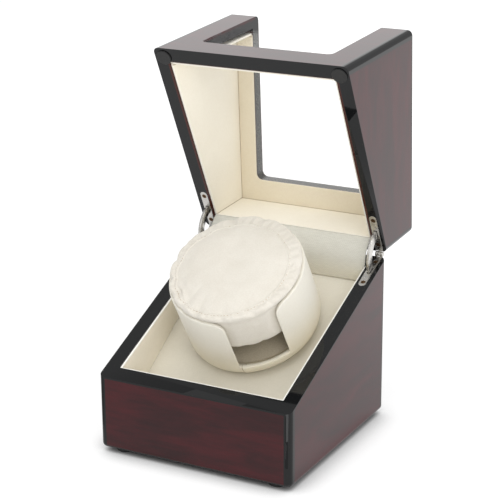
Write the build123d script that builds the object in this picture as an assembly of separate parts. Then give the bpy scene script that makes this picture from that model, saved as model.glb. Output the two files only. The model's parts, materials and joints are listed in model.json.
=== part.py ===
"""Single watch winder: a lacquered case with a sloping rim, a lid with a wrap-round
window on a pair of quadrant hinges, and a leaning drum that a geared motor turns by a belt.

Lengths are in millimetres and angles in degrees. +Z is up, the case faces -Y and the feet
stand on z = 0. Each piece is drawn where it lies with the lid open, which is the rest pose.
"""
import os
from math import asin, atan2, cos, degrees, radians, sin, tan

from build123d import *

# Case
case_width = 126.4
case_depth = 129.4
case_height = 142.4
rim_front_height = 45.4
rim_back_height = 99.4
wall = 9.0
back_wall = 8.7
top_wall = 9.9
bottom_board = 5.0
corner_radius = 3.6
underside_radius = 3.0
joint_gap = 0.1

# Linings, and the woven strip over the gap at the hinges
lining = 1.3
lining_setback = 0.5
strip_thickness = 0.5
strip_side_gap = 0.3
strip_rise = 2.0
strip_end_gap = 0.15

# Lid
lid_open_angle = 86.9
rim_gap = 1.2
bumper_diameter = 9.5
bumper_thickness = 1.0
bumper_inset = 6.1
window_width = 86.0
window_bottom = 68.7
window_back_margin = 23.0
window_corner = 4.0
window_lining_lip = 1.0
pane_thickness = 2.0
pane_overlap = 4.0
pane_bend_radius = 1.2

# Feet, bottom board and battens
foot_height = 2.5
foot_diameter = 9.5
foot_side_inset = 12.3
foot_end_inset = 8.2
foot_edge_radius = 0.6
batten = 8.0
board_batten_length = 70.0
panel_batten_length = 85.0
batten_back_gap = 6.5
board_screw_inset = 6.0
board_screw_head = 2.8
board_screw_shank = 1.4
board_screw_length = 11.0

# Hinges
leaf_width = 4.8
leaf_length = 28.0
leaf_thickness = 1.0
barrel_radius = 1.6
barrel_overhang = 1.9
barrel_width = 4.8
knuckle_gap = 0.2
pin_radius = 0.75
hinge_inset = 5.0
hinge_screw_far = 24.5
hinge_screw_near = 5.0
hinge_screw_head = 1.5
hinge_screw_shank = 0.7
hinge_screw_long = 8.0
hinge_screw_short = 5.0
stay_radius = 15.5
stay_width = 5.0
stay_thickness = 1.6
stay_stop_angle = 10.8
stay_end_angle = 3.6
stay_pin_radius = 1.0
stay_pin_length = 3.4
stay_share = 0.25
stay_clearance = 0.35
stay_pocket_end = 2.0

# Rotor panel: the leaning board in front of which the drum turns
panel_tilt = 32.0
panel_axis_from_back = 48.3
panel_axis_height = 61.2
panel_thickness = 5.0
panel_hole_radius = 9.0

# Drum
drum_radius = 42.0
drum_wall = 3.3
drum_floor = 4.0
drum_rim = 50.0
drum_gap = 1.5
drum_bottom_radius = 8.0
drum_inner_radius = 4.0
drum_rim_radius = 1.5
notch_width = 31.0
notch_sill = 11.0
notch_angle = 35.0
notch_corner = 7.0
floor_pad = 1.5
floor_pad_inset = 4.5

# Cushion
cushion_bottom = 24.0
cushion_crown = 58.6
cushion_shoulder = 40.2
cushion_seam = 34.0
cushion_side_gap = 0.6
cushion_seam_drop = 3.2
cushion_waist_drop = 0.5

# Rotor shaft and its bearing
hub_flange_radius = 15.0
hub_flange = 2.0
hub_sleeve_radius = 6.5
hub_screw_circle = 10.5
hub_screw_head = 2.4
hub_screw_shank = 1.2
hub_screw_length = 3.4
shaft_radius = 3.0
press_gap = 0.02
running_gap = 0.05
end_gap = 0.3
bush_radius = 5.0
bush_flange_radius = 7.0
bush_flange = 1.4

# Chassis, motor and belt
chassis_side_gap = 1.8
chassis_right = 24.0
chassis_half = 26.0
chassis_thickness = 3.0
chassis_screw_inset = 4.5
chassis_screw_length = 6.5
boss_radius = 9.0
boss_length = 4.0
post_radius = 4.0
post_offset = 17.0
post_length = 14.0
drum_pitch_radius = 17.0
motor_pitch_radius = 5.0
belt_width = 4.0
belt_thickness = 1.0
pulley_width = 7.0
pulley_flange = 1.2
pulley_rim = 1.0
motor_offset = 30.0
gearbox_radius = 11.0
gearbox_length = 12.0
motor_can_radius = 9.8
motor_can_length = 18.0
terminal_reach = 2.0
terminal_width = 8.0
terminal_height = 5.0
terminal_rise = 2.0
motor_ear_width = 12.0
motor_ear = 2.0
motor_shaft_radius = 1.5
motor_shaft_depth = 7.5
clip_radius = 5.0
clip_thickness = 0.8
clip_groove = 0.5
shaft_end = 1.4

# Rear fittings: plate, control board, power inlet and mode knob
rear_plate_width = 58.0
rear_plate_height = 30.0
rear_plate_thickness = 2.0
rear_plate_x = 18.0
rear_plate_rise = 28.0
rear_cut_margin = 5.0
rear_screw_inset = 2.6
rear_screw_head = 1.8
rear_screw_shank = 0.8
rear_screw_length = 7.5
board_thickness = 1.6
board_depth = 12.9
board_margin = 1.0
board_post_radius = 2.4
board_post_inset = 3.2
circuit_screw_head = 1.6
circuit_screw_shank = 0.7
circuit_screw_length = 5.0
knob_from_centre = 11.0
knob_radius = 7.0
knob_length = 9.0
knob_edge_radius = 0.8
knob_flutes = 18
knob_flute_radius = 0.75
knob_flute_start = 1.5
knob_mark_width = 1.0
knob_mark_length = 3.2
knob_mark_depth = 0.4
knob_shaft_radius = 3.0
knob_bore_depth = 2.0
switch_size = 10.0
switch_depth = 8.0
switch_collar_radius = 4.5
inlet_from_centre = -12.0
inlet_size = 10.0
inlet_bore_radius = 2.8
inlet_bore_depth = 9.5
inlet_pin_radius = 1.0
lead_radius = 0.6
lead_spacing = 2.2
lead_bend = 1.8
lead_rise = 5.0
lead_straight = 6.0

# Places worked out from the sizes above
half_width = case_width / 2
half_depth = case_depth / 2
inner_x = half_width - wall
inner_front = -half_depth + wall
inner_back = half_depth - back_wall
top_z = foot_height + case_height
inner_top = top_z - top_wall
board_top = foot_height + bottom_board
rim_angle = degrees(atan2(rim_back_height - rim_front_height, case_depth))
lined_x = inner_x - lining
lined_front = inner_front + lining
lined_back = inner_back - lining
lined_top = inner_top - lining
beyond = 20.0
panel_axis_y = half_depth - panel_axis_from_back
batten_back = inner_back - batten_back_gap
chassis_left = inner_x - batten - chassis_side_gap
far_front = -half_depth - beyond
far_back = half_depth + beyond

bodies = {}


def add(body, node, shape):
    """Keeps one sub-part under its name, in the body that it moves with."""
    bodies.setdefault(body, {})[node] = shape


def rim_z(y, lift=0.0):
    """Height of the base's sloping rim at y, or of a plane that lies lift above it."""
    front = foot_height + rim_front_height
    return front + (y + half_depth) * tan(radians(rim_angle)) + lift / cos(radians(rim_angle))


def panel_z(y, depth=0.0):
    """Height of the rotor panel's face at y, or of a plane that lies depth below it."""
    height = foot_height + panel_axis_height
    return height + (y - panel_axis_y) * tan(radians(panel_tilt)) - depth / cos(radians(panel_tilt))


def bar_along_x(points, low, high):
    """A polygon of (y, z) points, carried along x from low to high."""
    outline = Polyline([(low, y, z) for y, z in points], close=True)
    return extrude(make_face(outline), high - low, dir=(1, 0, 0))


def bar_along_y(points, low, high):
    """A polygon of (x, z) points, carried along y from low to high."""
    outline = Polyline([(x, low, z) for x, z in points], close=True)
    return extrude(make_face(outline), high - low, dir=(0, 1, 0))


def bar_along_z(points, low, high):
    """A polygon of (x, y) points, carried up from low to high."""
    outline = Polyline([(x, y, low) for x, y in points], close=True)
    return extrude(make_face(outline), high - low, dir=(0, 0, 1))


def block(low, high):
    """A plain box from its lowest corner to its highest."""
    size = [h - l for l, h in zip(low, high)]
    return Pos(*low) * Box(*size, align=(Align.MIN, Align.MIN, Align.MIN))


def rod(radius, low, high):
    """A round bar on the z axis from low to high."""
    return Pos(0, 0, low) * Cylinder(radius, high - low, align=(Align.CENTER, Align.CENTER, Align.MIN))


def group(shapes):
    """Several like solids under one name."""
    return Compound(children=[solid for shape in shapes for solid in shape.solids()])


def screw(head, shank, length):
    """A countersunk cross-head screw that points down, its head's face on z = 0."""
    sink = head - shank
    cone = Pos(0, 0, -sink / 2) * Cone(shank, head, sink)
    arm = head * 0.3
    cross = Box(head * 1.2, arm, sink) + Box(arm, head * 1.2, sink)
    return cone + rod(shank, -length, -sink / 2) - cross


def screw_room(head, shank, length):
    """The hole and countersink that such a screw needs in the pieces it goes through."""
    sink = head - shank
    cone = Pos(0, 0, -sink / 2) * Cone(shank + running_gap, head + running_gap, sink)
    return cone + rod(shank + running_gap, -length - end_gap, 0)


# Walls: the outer block of the closed case, cut along the rim and mitred at its corners
outer = Pos(0, 0, foot_height) * Box(
    case_width, case_depth, case_height, align=(Align.CENTER, Align.CENTER, Align.MIN)
)
outer = fillet(outer.edges().filter_by(Axis.Z), corner_radius)
outer = fillet(outer.edges().group_by(Axis.Z)[-1], corner_radius)
outer = fillet(outer.edges().group_by(Axis.Z)[0], underside_radius)
cavity = block((-inner_x, inner_front, -beyond), (inner_x, inner_back, inner_top))
shell = outer - cavity

below_rim = bar_along_x(
    [(far_front, -beyond), (far_back, -beyond), (far_back, rim_z(far_back)), (far_front, rim_z(far_front))],
    -case_width, case_width,
)
above_rim = bar_along_x(
    [(far_front, rim_z(far_front, rim_gap)), (far_back, rim_z(far_back, rim_gap)),
     (far_back, top_z + beyond), (far_front, top_z + beyond)],
    -case_width, case_width,
)
lid_cap = bar_along_x(
    [(-half_depth, top_z), (-half_depth, top_z + beyond), (half_depth, top_z + beyond),
     (half_depth, top_z), (inner_back, inner_top), (inner_front, inner_top)],
    -case_width, case_width,
) & bar_along_y(
    [(-half_width, top_z), (-half_width, top_z + beyond), (half_width, top_z + beyond),
     (half_width, top_z), (inner_x, inner_top), (-inner_x, inner_top)],
    far_front, far_back,
)


def mitred(side):
    """The part of the plan that one wall owns, between the lines of its two mitres."""
    w, d = half_width, half_depth
    plans = {
        "front": [(-w, -d), (-w, far_front), (w, far_front), (w, -d),
                  (inner_x, inner_front), (-inner_x, inner_front)],
        "back": [(-w, d), (-w, far_back), (w, far_back), (w, d),
                 (inner_x, inner_back), (-inner_x, inner_back)],
        "left": [(-w, -d), (-case_width, -d), (-case_width, d), (-w, d),
                 (-inner_x, inner_back), (-inner_x, inner_front)],
        "right": [(w, -d), (case_width, -d), (case_width, d), (w, d),
                  (inner_x, inner_back), (inner_x, inner_front)],
    }
    return bar_along_z(plans[side], -beyond, top_z + beyond)


base_walls = {side: shell & below_rim & mitred(side) for side in ("front", "left", "right", "back")}
lid_walls = {side: (shell & above_rim & mitred(side)) - lid_cap for side in base_walls}
lid_walls["top"] = shell & above_rim & lid_cap

# Window: one opening that runs up the lid's front wall and back over its top board
window_half = window_width / 2
window_low = foot_height + window_bottom
window_back = half_depth - window_back_margin


def window_cut(inset, y_from, y_to, z_from, z_to):
    """The front and the top leg of the window, rounded in the front leg's lower corners
    and the top leg's back corners, and drawn in all round by inset."""
    half = window_half - inset
    front_leg = block((-half, y_from, window_low + inset), (half, y_to, z_to))
    front_leg = fillet(front_leg.edges().filter_by(Axis.Y).group_by(Axis.Z)[0], window_corner)
    top_leg = block((-half, y_from, z_from), (half, window_back - inset, z_to))
    top_leg = fillet(top_leg.edges().filter_by(Axis.Z).group_by(Axis.Y)[-1], window_corner)
    return front_leg + top_leg


def bent_sheet(grow, outer_bend, inner_bend):
    """A sheet bent along the lid's front top edge, inside the walls, grown by grow outwards."""
    half = window_half + pane_overlap + grow
    low = window_low - pane_overlap - grow
    back = window_back + pane_overlap + grow
    depth = pane_thickness + grow
    hull = block((-half, inner_front - depth, low), (half, back, inner_top + depth))
    room = block((-case_width, inner_front, -beyond), (case_width, case_depth, inner_top))
    if outer_bend:
        hull_edge = hull.edges().filter_by(Axis.X).sort_by(lambda e: e.center().Z - e.center().Y)[-1]
        hull = fillet(hull_edge, outer_bend)
        room_edge = room.edges().filter_by(Axis.X).sort_by(lambda e: e.center().Z - e.center().Y)[-1]
        room = fillet(room_edge, inner_bend)
    return hull - room


wood_window = window_cut(0, far_front, inner_front + beyond / 2, inner_top - beyond / 2, top_z + beyond)
window_pane = bent_sheet(0, pane_bend_radius + pane_thickness, pane_bend_radius)
rebate = bent_sheet(joint_gap, 0, 0)
for side in ("front", "top", "left", "right"):
    lid_walls[side] = lid_walls[side] - wood_window - rebate

# Linings: thin boards wrapped in leather cloth, set a little below each rim
base_front_lining = bar_along_x(
    [(inner_front, panel_z(inner_front)), (lined_front, panel_z(lined_front)),
     (lined_front, rim_z(lined_front) - lining_setback), (inner_front, rim_z(inner_front) - lining_setback)],
    -inner_x, inner_x,
)
base_back_lining = bar_along_x(
    [(lined_back, panel_z(lined_back)), (inner_back, panel_z(inner_back)),
     (inner_back, rim_z(inner_back) - lining_setback), (lined_back, rim_z(lined_back) - lining_setback)],
    -inner_x, inner_x,
)
base_side = [
    (lined_front, panel_z(lined_front)), (lined_back, panel_z(lined_back)),
    (lined_back, rim_z(lined_back) - lining_setback), (lined_front, rim_z(lined_front) - lining_setback),
]
lid_top_lining = block((-inner_x, inner_front, lined_top), (inner_x, inner_back, inner_top))
lid_front_lining = bar_along_x(
    [(inner_front, rim_z(inner_front, rim_gap) + lining_setback), (inner_front, lined_top),
     (lined_front, lined_top), (lined_front, rim_z(lined_front, rim_gap) + lining_setback)],
    -inner_x, inner_x,
)
lid_back_lining = bar_along_x(
    [(lined_back, rim_z(lined_back, rim_gap) + lining_setback), (lined_back, lined_top),
     (inner_back, lined_top), (inner_back, rim_z(inner_back, rim_gap) + lining_setback)],
    -inner_x, inner_x,
)
lid_side = [
    (lined_front, rim_z(lined_front, rim_gap) + lining_setback), (lined_front, lined_top),
    (lined_back, lined_top), (lined_back, rim_z(lined_back, rim_gap) + lining_setback),
]
lining_window = window_cut(
    window_lining_lip, far_front, lined_front + beyond / 2, lined_top - beyond / 2, top_z + beyond
)
pane_bend_room = block(
    (-window_half - pane_overlap - joint_gap, inner_front, lined_top),
    (window_half + pane_overlap + joint_gap, lined_front, inner_top),
)
lid_top_lining = lid_top_lining - lining_window - pane_bend_room
lid_front_lining = lid_front_lining - lining_window

# Hinge axis: in the middle of the gap between the rims, just behind the back wall
slope_y = cos(radians(rim_angle))
slope_z = sin(radians(rim_angle))
hinge_x = half_width - hinge_inset
hinge_y = half_depth + barrel_overhang * slope_y - rim_gap / 2 * slope_z
hinge_z = rim_z(half_depth) + barrel_overhang * slope_z + rim_gap / 2 * slope_y


def opened(shape):
    """Turns a piece of the closed lid about the hinge axis to where it stands open."""
    axis_place = Pos(0, hinge_y, hinge_z)
    return axis_place * Rot(-lid_open_angle, 0, 0) * Pos(0, -hinge_y, -hinge_z) * shape


def at_hinge(x, shape):
    """Places a shape drawn about the hinge axis, its Y up the rim's slope and its Z square to it."""
    return Pos(x, hinge_y, hinge_z) * Rot(rim_angle, 0, 0) * shape


def ring_part(inner_radius, outer_radius, start, end, width):
    """Part of a flat ring about the hinge axis, from one angle above the rim line to another."""
    def at(radius, angle):
        return (-width / 2, -radius * cos(radians(angle)), radius * sin(radians(angle)))

    middle = (start + end) / 2
    outline = [
        ThreePointArc(at(outer_radius, start), at(outer_radius, middle), at(outer_radius, end)),
        Line(at(outer_radius, end), at(inner_radius, end)),
        ThreePointArc(at(inner_radius, end), at(inner_radius, middle), at(inner_radius, start)),
        Line(at(inner_radius, start), at(outer_radius, start)),
    ]
    return extrude(make_face(outline), width, dir=(1, 0, 0))


stay_inner = stay_radius - stay_width / 2
stay_outer = stay_radius + stay_width / 2
stay_tip = stay_stop_angle + stay_end_angle
stay_into_base = stay_tip + lid_open_angle * stay_share + stay_pocket_end
stay_into_lid = stay_tip + lid_open_angle * (1 - stay_share) + stay_pocket_end
rim_line = -rim_gap / 2
screw_places = {hinge_screw_far: hinge_screw_long, hinge_screw_near: hinge_screw_short}


def leaf_plate(grow):
    """The flat of a leaf, from its round far end to the hinge axis, just under the rim."""
    far = -barrel_overhang - leaf_length + leaf_width / 2
    half = leaf_width / 2 + grow
    plate = block((-half, far, rim_line - leaf_thickness), (half, 0, rim_line))
    return plate + Pos(0, far, 0) * rod(half, rim_line - leaf_thickness, rim_line)


def hinge_screws(shape, length_from):
    """A copy of shape for each screw of a leaf, at its place along the leaf."""
    return [Pos(0, -barrel_overhang - place, rim_line) * shape(hinge_screw_head, hinge_screw_shank, length)
            for place, length in length_from.items()]


def leaf(own_knuckles, other_knuckles):
    """A hinge leaf: plate, slot for the stay, screw holes and knuckles, drawn for the base."""
    plate = leaf_plate(0)
    half_slot = stay_thickness / 2 + stay_clearance
    plate = plate - block(
        (-half_slot, -stay_outer - stay_clearance, rim_line - 2 * leaf_thickness),
        (half_slot, -stay_inner + stay_clearance, rim_line + leaf_thickness),
    )
    for hole in hinge_screws(screw_room, screw_places):
        plate = plate - hole
    for low, high in other_knuckles:
        room = barrel_radius + end_gap
        plate = plate - block((low - knuckle_gap, -room, -room), (high + knuckle_gap, room, room))
    for low, high in own_knuckles:
        plate = plate + Rot(0, 90, 0) * rod(barrel_radius, low, high)
    return plate - Rot(0, 90, 0) * rod(pin_radius + running_gap, -barrel_width, barrel_width)


half_barrel = barrel_width / 2
third = barrel_width / 6
outer_knuckles = [(-half_barrel, -third - knuckle_gap / 2), (third + knuckle_gap / 2, half_barrel)]
middle_knuckle = [(-third + knuckle_gap / 2, third - knuckle_gap / 2)]
base_leaf = leaf(outer_knuckles, middle_knuckle)
lid_leaf = mirror(leaf(middle_knuckle, outer_knuckles), about=Plane.XY)
base_leaf_screws = hinge_screws(screw, screw_places)
lid_leaf_screws = [mirror(shape, about=Plane.XY) for shape in base_leaf_screws]

# Room in the walls for the leaves, their screws and the stays
pocket_width = stay_pin_length + 2 * stay_clearance
leaf_room = leaf_plate(joint_gap)
for hole in hinge_screws(screw_room, screw_places):
    leaf_room = leaf_room + hole
base_room = leaf_room + ring_part(
    stay_inner - stay_clearance, stay_outer + stay_clearance, -stay_into_base, 0, pocket_width
)
lid_room = mirror(leaf_room, about=Plane.XY) + ring_part(
    stay_inner - stay_clearance, stay_outer + stay_clearance, 0, stay_into_lid, pocket_width
)
for x in (-hinge_x, hinge_x):
    for side in ("left", "right", "back"):
        base_walls[side] = base_walls[side] - at_hinge(x, base_room)
        lid_walls[side] = lid_walls[side] - at_hinge(x, lid_room)

stay = ring_part(stay_inner, stay_outer, -stay_tip, lid_open_angle + stay_tip, stay_thickness)
for angle in (-stay_stop_angle, lid_open_angle + stay_stop_angle):
    place = Pos(0, -stay_radius * cos(radians(angle)), stay_radius * sin(radians(angle)))
    half_pin = stay_pin_length / 2
    stay = stay + place * Rot(0, 90, 0) * rod(stay_pin_radius, -half_pin, half_pin)

# Woven strip: glued to the base's back lining, then curving back to the edge of the lid's
# back lining. Above the rim it is as wide as the opening
lid_edge_y = inner_back - lining / 2
lid_edge_z = rim_z(lid_edge_y, rim_gap) + lining_setback
swing_y, swing_z = lid_edge_y - hinge_y, lid_edge_z - hinge_z
turn = radians(lid_open_angle)
rim_out = radians(rim_angle + 90 - lid_open_angle)
strip_end_y = hinge_y + swing_y * cos(turn) + swing_z * sin(turn) - strip_end_gap * cos(rim_out)
strip_end_z = hinge_z - swing_y * sin(turn) + swing_z * cos(turn) - strip_end_gap * sin(rim_out)
strip_y = lined_back - strip_thickness / 2
strip_bend_z = rim_z(lined_back) + strip_rise
reach_y, reach_z = strip_end_y - strip_y, strip_end_z - strip_bend_z
strip_bend = (reach_y ** 2 + reach_z ** 2) / (2 * reach_y)
strip_sweep = degrees(asin(reach_z / strip_bend))


def strip_face_point(radius, angle):
    """A point on the strip's curve, angle measured from where the curve leaves the upright part."""
    y = strip_y + strip_bend - radius * cos(radians(angle))
    return (0, y, strip_bend_z + radius * sin(radians(angle)))


strip_front = strip_bend + strip_thickness / 2
strip_rear = strip_bend - strip_thickness / 2
strip_foot_front = (0, strip_y - strip_thickness / 2, panel_z(strip_y) + joint_gap)
strip_foot_rear = (0, strip_y + strip_thickness / 2, panel_z(lined_back) + joint_gap)
strip_outline = [
    Line(strip_foot_front, strip_face_point(strip_front, 0)),
    ThreePointArc(*[strip_face_point(strip_front, strip_sweep * share) for share in (0, 0.5, 1)]),
    Line(strip_face_point(strip_front, strip_sweep), strip_face_point(strip_rear, strip_sweep)),
    ThreePointArc(*[strip_face_point(strip_rear, strip_sweep * share) for share in (1, 0.5, 0)]),
    Line(strip_face_point(strip_rear, 0), strip_foot_rear),
    Line(strip_foot_rear, strip_foot_front),
]
strip_between_linings = lined_x - strip_side_gap
strip_in_opening = inner_x - strip_side_gap
hinge_strip = extrude(make_face(strip_outline), strip_in_opening, dir=(1, 0, 0), both=True)
for x_low, x_high in ((-half_width, -strip_between_linings), (strip_between_linings, half_width)):
    hinge_strip = hinge_strip - block((x_low, 0, 0), (x_high, half_depth, rim_z(lined_back)))

# Rotor panel and what hangs under it, drawn in a frame with Z out of the panel along the
# drum's axis and Y up its slope
tilt = Plane(
    origin=(0, panel_axis_y, foot_height + panel_axis_height), x_dir=(1, 0, 0),
    z_dir=(0, -sin(radians(panel_tilt)), cos(radians(panel_tilt))),
).location


def leaning_bar(depth_from, depth_to, y_from, y_to, x_from, x_to):
    """A board parallel to the rotor panel's face, cut off upright at its two ends."""
    return bar_along_x(
        [(y_from, panel_z(y_from, depth_to)), (y_to, panel_z(y_to, depth_to)),
         (y_to, panel_z(y_to, depth_from)), (y_from, panel_z(y_from, depth_from))],
        x_from, x_to,
    )


chassis_top = -panel_thickness
chassis_low = chassis_top - chassis_thickness
boss_low = chassis_low - boss_length
chassis_screw_places = [
    (x, t)
    for x in (-chassis_left + chassis_screw_inset, chassis_right - chassis_screw_inset)
    for t in (-chassis_half + chassis_screw_inset, chassis_half - chassis_screw_inset)
]
chassis_screw_room = Rot(180, 0, 0) * screw_room(hub_screw_head, hub_screw_shank, chassis_screw_length)
chassis_screw = Rot(180, 0, 0) * screw(hub_screw_head, hub_screw_shank, chassis_screw_length)

rotor_panel = leaning_bar(0, panel_thickness, inner_front, inner_back, -inner_x, inner_x)
rotor_panel = rotor_panel - tilt * rod(panel_hole_radius, -2 * panel_thickness, panel_thickness)
for x, t in chassis_screw_places:
    rotor_panel = rotor_panel - tilt * Pos(x, t, chassis_low) * chassis_screw_room

# Chassis: a moulded plate with the bearing boss and two posts for the motor
post_low = chassis_low - post_length
ear_low = post_low - motor_ear
chassis = block((-chassis_left, -chassis_half, chassis_low), (chassis_right, chassis_half, chassis_top))
chassis = fillet(chassis.edges().filter_by(Axis.Z), chassis_screw_inset)
chassis = chassis + rod(boss_radius, boss_low, chassis_low)
for t in (-post_offset, post_offset):
    chassis = chassis + Pos(-motor_offset, t, 0) * rod(post_radius, post_low, chassis_low)
    chassis = chassis - Pos(-motor_offset, t, ear_low) * chassis_screw_room
chassis = chassis - rod(bush_radius + press_gap, 2 * boss_low, 0)
for x, t in chassis_screw_places:
    chassis = chassis - Pos(x, t, chassis_low) * chassis_screw_room

bush = rod(bush_radius, boss_low, chassis_top)
bush = bush + rod(bush_flange_radius, chassis_top, chassis_top + bush_flange)
bush = bush - rod(shaft_radius + running_gap, 2 * boss_low, -boss_low)

# Pulleys and flat belt, in one plane under the boss
belt_top = boss_low - end_gap
belt_low = belt_top - pulley_width
belt_middle = belt_top - pulley_width / 2


def pulley(pitch_radius, bore):
    """A flat-belt pulley with a flange at each side of its tread."""
    tread = pitch_radius - belt_thickness / 2 - end_gap
    flange = pitch_radius + belt_thickness / 2 + pulley_rim
    wheel = rod(tread, belt_low, belt_top)
    wheel = wheel + rod(flange, belt_low, belt_low + pulley_flange)
    wheel = wheel + rod(flange, belt_top - pulley_flange, belt_top)
    return wheel - rod(bore, belt_low - 1, belt_top + 1)


def belt_outline(offset):
    """The line round both pulleys, offset from the belt's middle line."""
    wheels = Circle(drum_pitch_radius + offset) + Pos(-motor_offset, 0) * Circle(motor_pitch_radius + offset)
    return make_hull(wheels.edges())


belt_face = belt_outline(belt_thickness / 2) - belt_outline(-belt_thickness / 2)
belt_base = Pos(0, 0, belt_middle - belt_width / 2)
drive_belt = extrude(belt_base * belt_face, belt_width, dir=(0, 0, 1))

# Motor: ear plate, gearbox, can and a terminal block at its side
motor_top = post_low
gearbox_low = ear_low - gearbox_length
can_low = gearbox_low - motor_can_length
ear_reach = post_offset + post_radius
motor = block((-motor_ear_width / 2, -ear_reach, ear_low), (motor_ear_width / 2, ear_reach, motor_top))
motor = fillet(motor.edges().filter_by(Axis.Z), post_radius)
for t in (-post_offset, post_offset):
    motor = motor - Pos(0, t, ear_low) * chassis_screw_room
motor = motor + rod(gearbox_radius, gearbox_low, ear_low) + rod(motor_can_radius, can_low, gearbox_low)
terminal_face = motor_can_radius + terminal_reach
terminal_low = can_low + terminal_rise
motor = motor + block(
    (motor_can_radius / 2, -terminal_width / 2, terminal_low),
    (terminal_face, terminal_width / 2, terminal_low + terminal_height),
)
motor = motor - rod(motor_shaft_radius + running_gap, motor_top - motor_shaft_depth, motor_top + 1)

shaft_low = belt_low - end_gap - clip_thickness - shaft_end
clip_top = belt_low - press_gap
clip_inner = shaft_radius - clip_groove
drum_floor_top = drum_gap + drum_floor
hub_top = drum_gap + hub_flange
shaft = rod(shaft_radius, shaft_low, hub_top)
groove = rod(shaft_radius + 1, clip_top - clip_thickness, clip_top) - rod(clip_inner, belt_low * 2, 0)
shaft = shaft - groove
clip = rod(clip_radius, clip_top - clip_thickness, clip_top) - rod(clip_inner + press_gap, belt_low * 2, 0)
clip = clip - block((0, -clip_inner, belt_low * 2), (clip_radius * 2, clip_inner, 0))

# Drum: a moulded cup with a notch at each side for the strap, and the hub under its floor
hub = rod(hub_flange_radius, drum_gap, hub_top)
hub = hub + rod(hub_sleeve_radius, chassis_top + bush_flange + end_gap, drum_gap)
hub = hub - rod(shaft_radius + press_gap, -panel_thickness, hub_top + 1)
drum = rod(drum_radius, drum_gap, drum_rim)
drum = fillet(drum.edges().group_by(Axis.Z)[0], drum_bottom_radius)
drum_bore = drum_radius - drum_wall
drum_room = rod(drum_bore, drum_floor_top, drum_rim + beyond)
drum_room = fillet(drum_room.edges().group_by(Axis.Z)[0], drum_inner_radius)
drum = drum - drum_room
drum = fillet(drum.edges().group_by(Axis.Z)[-1], drum_rim_radius)
notch_half = notch_width / 2
corner_low = drum_rim - notch_corner
corner_mid = notch_corner * (1 - cos(radians(45)))
notch_edge = [(notch_half, notch_sill), (notch_half, corner_low)]
notch_rise = [
    (notch_half, corner_low),
    (notch_half + corner_mid, drum_rim - corner_mid),
    (notch_half + notch_corner, drum_rim),
]
notch_top = [(notch_half + notch_corner, drum_rim), (notch_half + notch_corner, drum_rim + beyond)]


def across_notch(points, sign):
    """Points of the notch's outline on one side of its middle line."""
    return [(sign * s, 0, n) for s, n in points]


notch_outline = []
for sign in (1, -1):
    notch_outline.append(Polyline(across_notch(notch_edge, sign)))
    notch_outline.append(ThreePointArc(*across_notch(notch_rise, sign)))
    notch_outline.append(Polyline(across_notch(notch_top, sign)))
notch_outline.append(Line((notch_half, 0, notch_sill), (-notch_half, 0, notch_sill)))
notch_outline.append(Line(notch_outline[2] @ 1, notch_outline[5] @ 1))
notch = extrude(make_face(notch_outline), drum_radius + beyond, dir=(0, 1, 0), both=True)
drum = drum - Rot(0, 0, notch_angle) * notch
drum = drum - rod(hub_flange_radius + joint_gap, 0, hub_top)
hub_screw_places = [
    Rot(0, 0, turn_angle) * Pos(hub_screw_circle, 0, drum_floor_top) for turn_angle in (90, 210, 330)
]
for place in hub_screw_places:
    drum = drum - place * screw_room(hub_screw_head, hub_screw_shank, hub_screw_length)
    hub = hub - place * screw_room(hub_screw_head, hub_screw_shank, hub_screw_length)
pad = rod(drum_bore - floor_pad_inset, drum_floor_top, drum_floor_top + floor_pad)

# Cushion: round, drawn in at its foot and its waist, with a roll over the drum's rim and a
# sewn ring where the roll meets the domed top
cushion_side = drum_bore - cushion_side_gap
cushion_waist = (drum_rim - cushion_waist_drop, cushion_side - cushion_waist_drop / 2)
seam_ring = (cushion_crown - cushion_seam_drop, cushion_seam)
cushion_roll_height = cushion_crown - cushion_waist[0]
cushion_body_height = cushion_waist[0] - cushion_bottom
cushion_body = [
    (cushion_bottom, cushion_side * 0.83),
    (cushion_bottom + cushion_body_height * 0.09, cushion_side * 0.93),
    (cushion_bottom + cushion_body_height * 0.26, cushion_side * 0.987),
    (cushion_bottom + cushion_body_height * 0.59, cushion_side),
    cushion_waist,
]
cushion_roll = [
    cushion_waist,
    (cushion_crown - cushion_roll_height * 0.81, cushion_shoulder * 0.985),
    (cushion_crown - cushion_roll_height * 0.64, cushion_shoulder),
    (cushion_crown - cushion_roll_height * 0.44, cushion_shoulder * 0.97),
    (cushion_crown - cushion_roll_height * 0.33, cushion_shoulder * 0.908),
    seam_ring,
]
cushion_dome = [
    seam_ring,
    (cushion_crown - cushion_seam_drop * 0.69, cushion_seam * 0.91),
    (cushion_crown - cushion_seam_drop * 0.375, cushion_seam * 0.7),
    (cushion_crown - cushion_seam_drop * 0.125, cushion_seam * 0.41),
    (cushion_crown, cushion_seam * 0.15),
]


def round_section(height, radius):
    """A round section of the cushion, made of four quarter arcs."""
    arcs = []
    for quarter in range(4):
        angles = [radians(90 * quarter + step) for step in (0, 45, 90)]
        arcs.append(ThreePointArc(*[(radius * cos(a), radius * sin(a), height) for a in angles]))
    return make_face(arcs)


cushion = loft([round_section(height, radius) for height, radius in cushion_body])
for sections in (cushion_roll, cushion_dome):
    cushion = cushion + loft([round_section(height, radius) for height, radius in sections])

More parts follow.
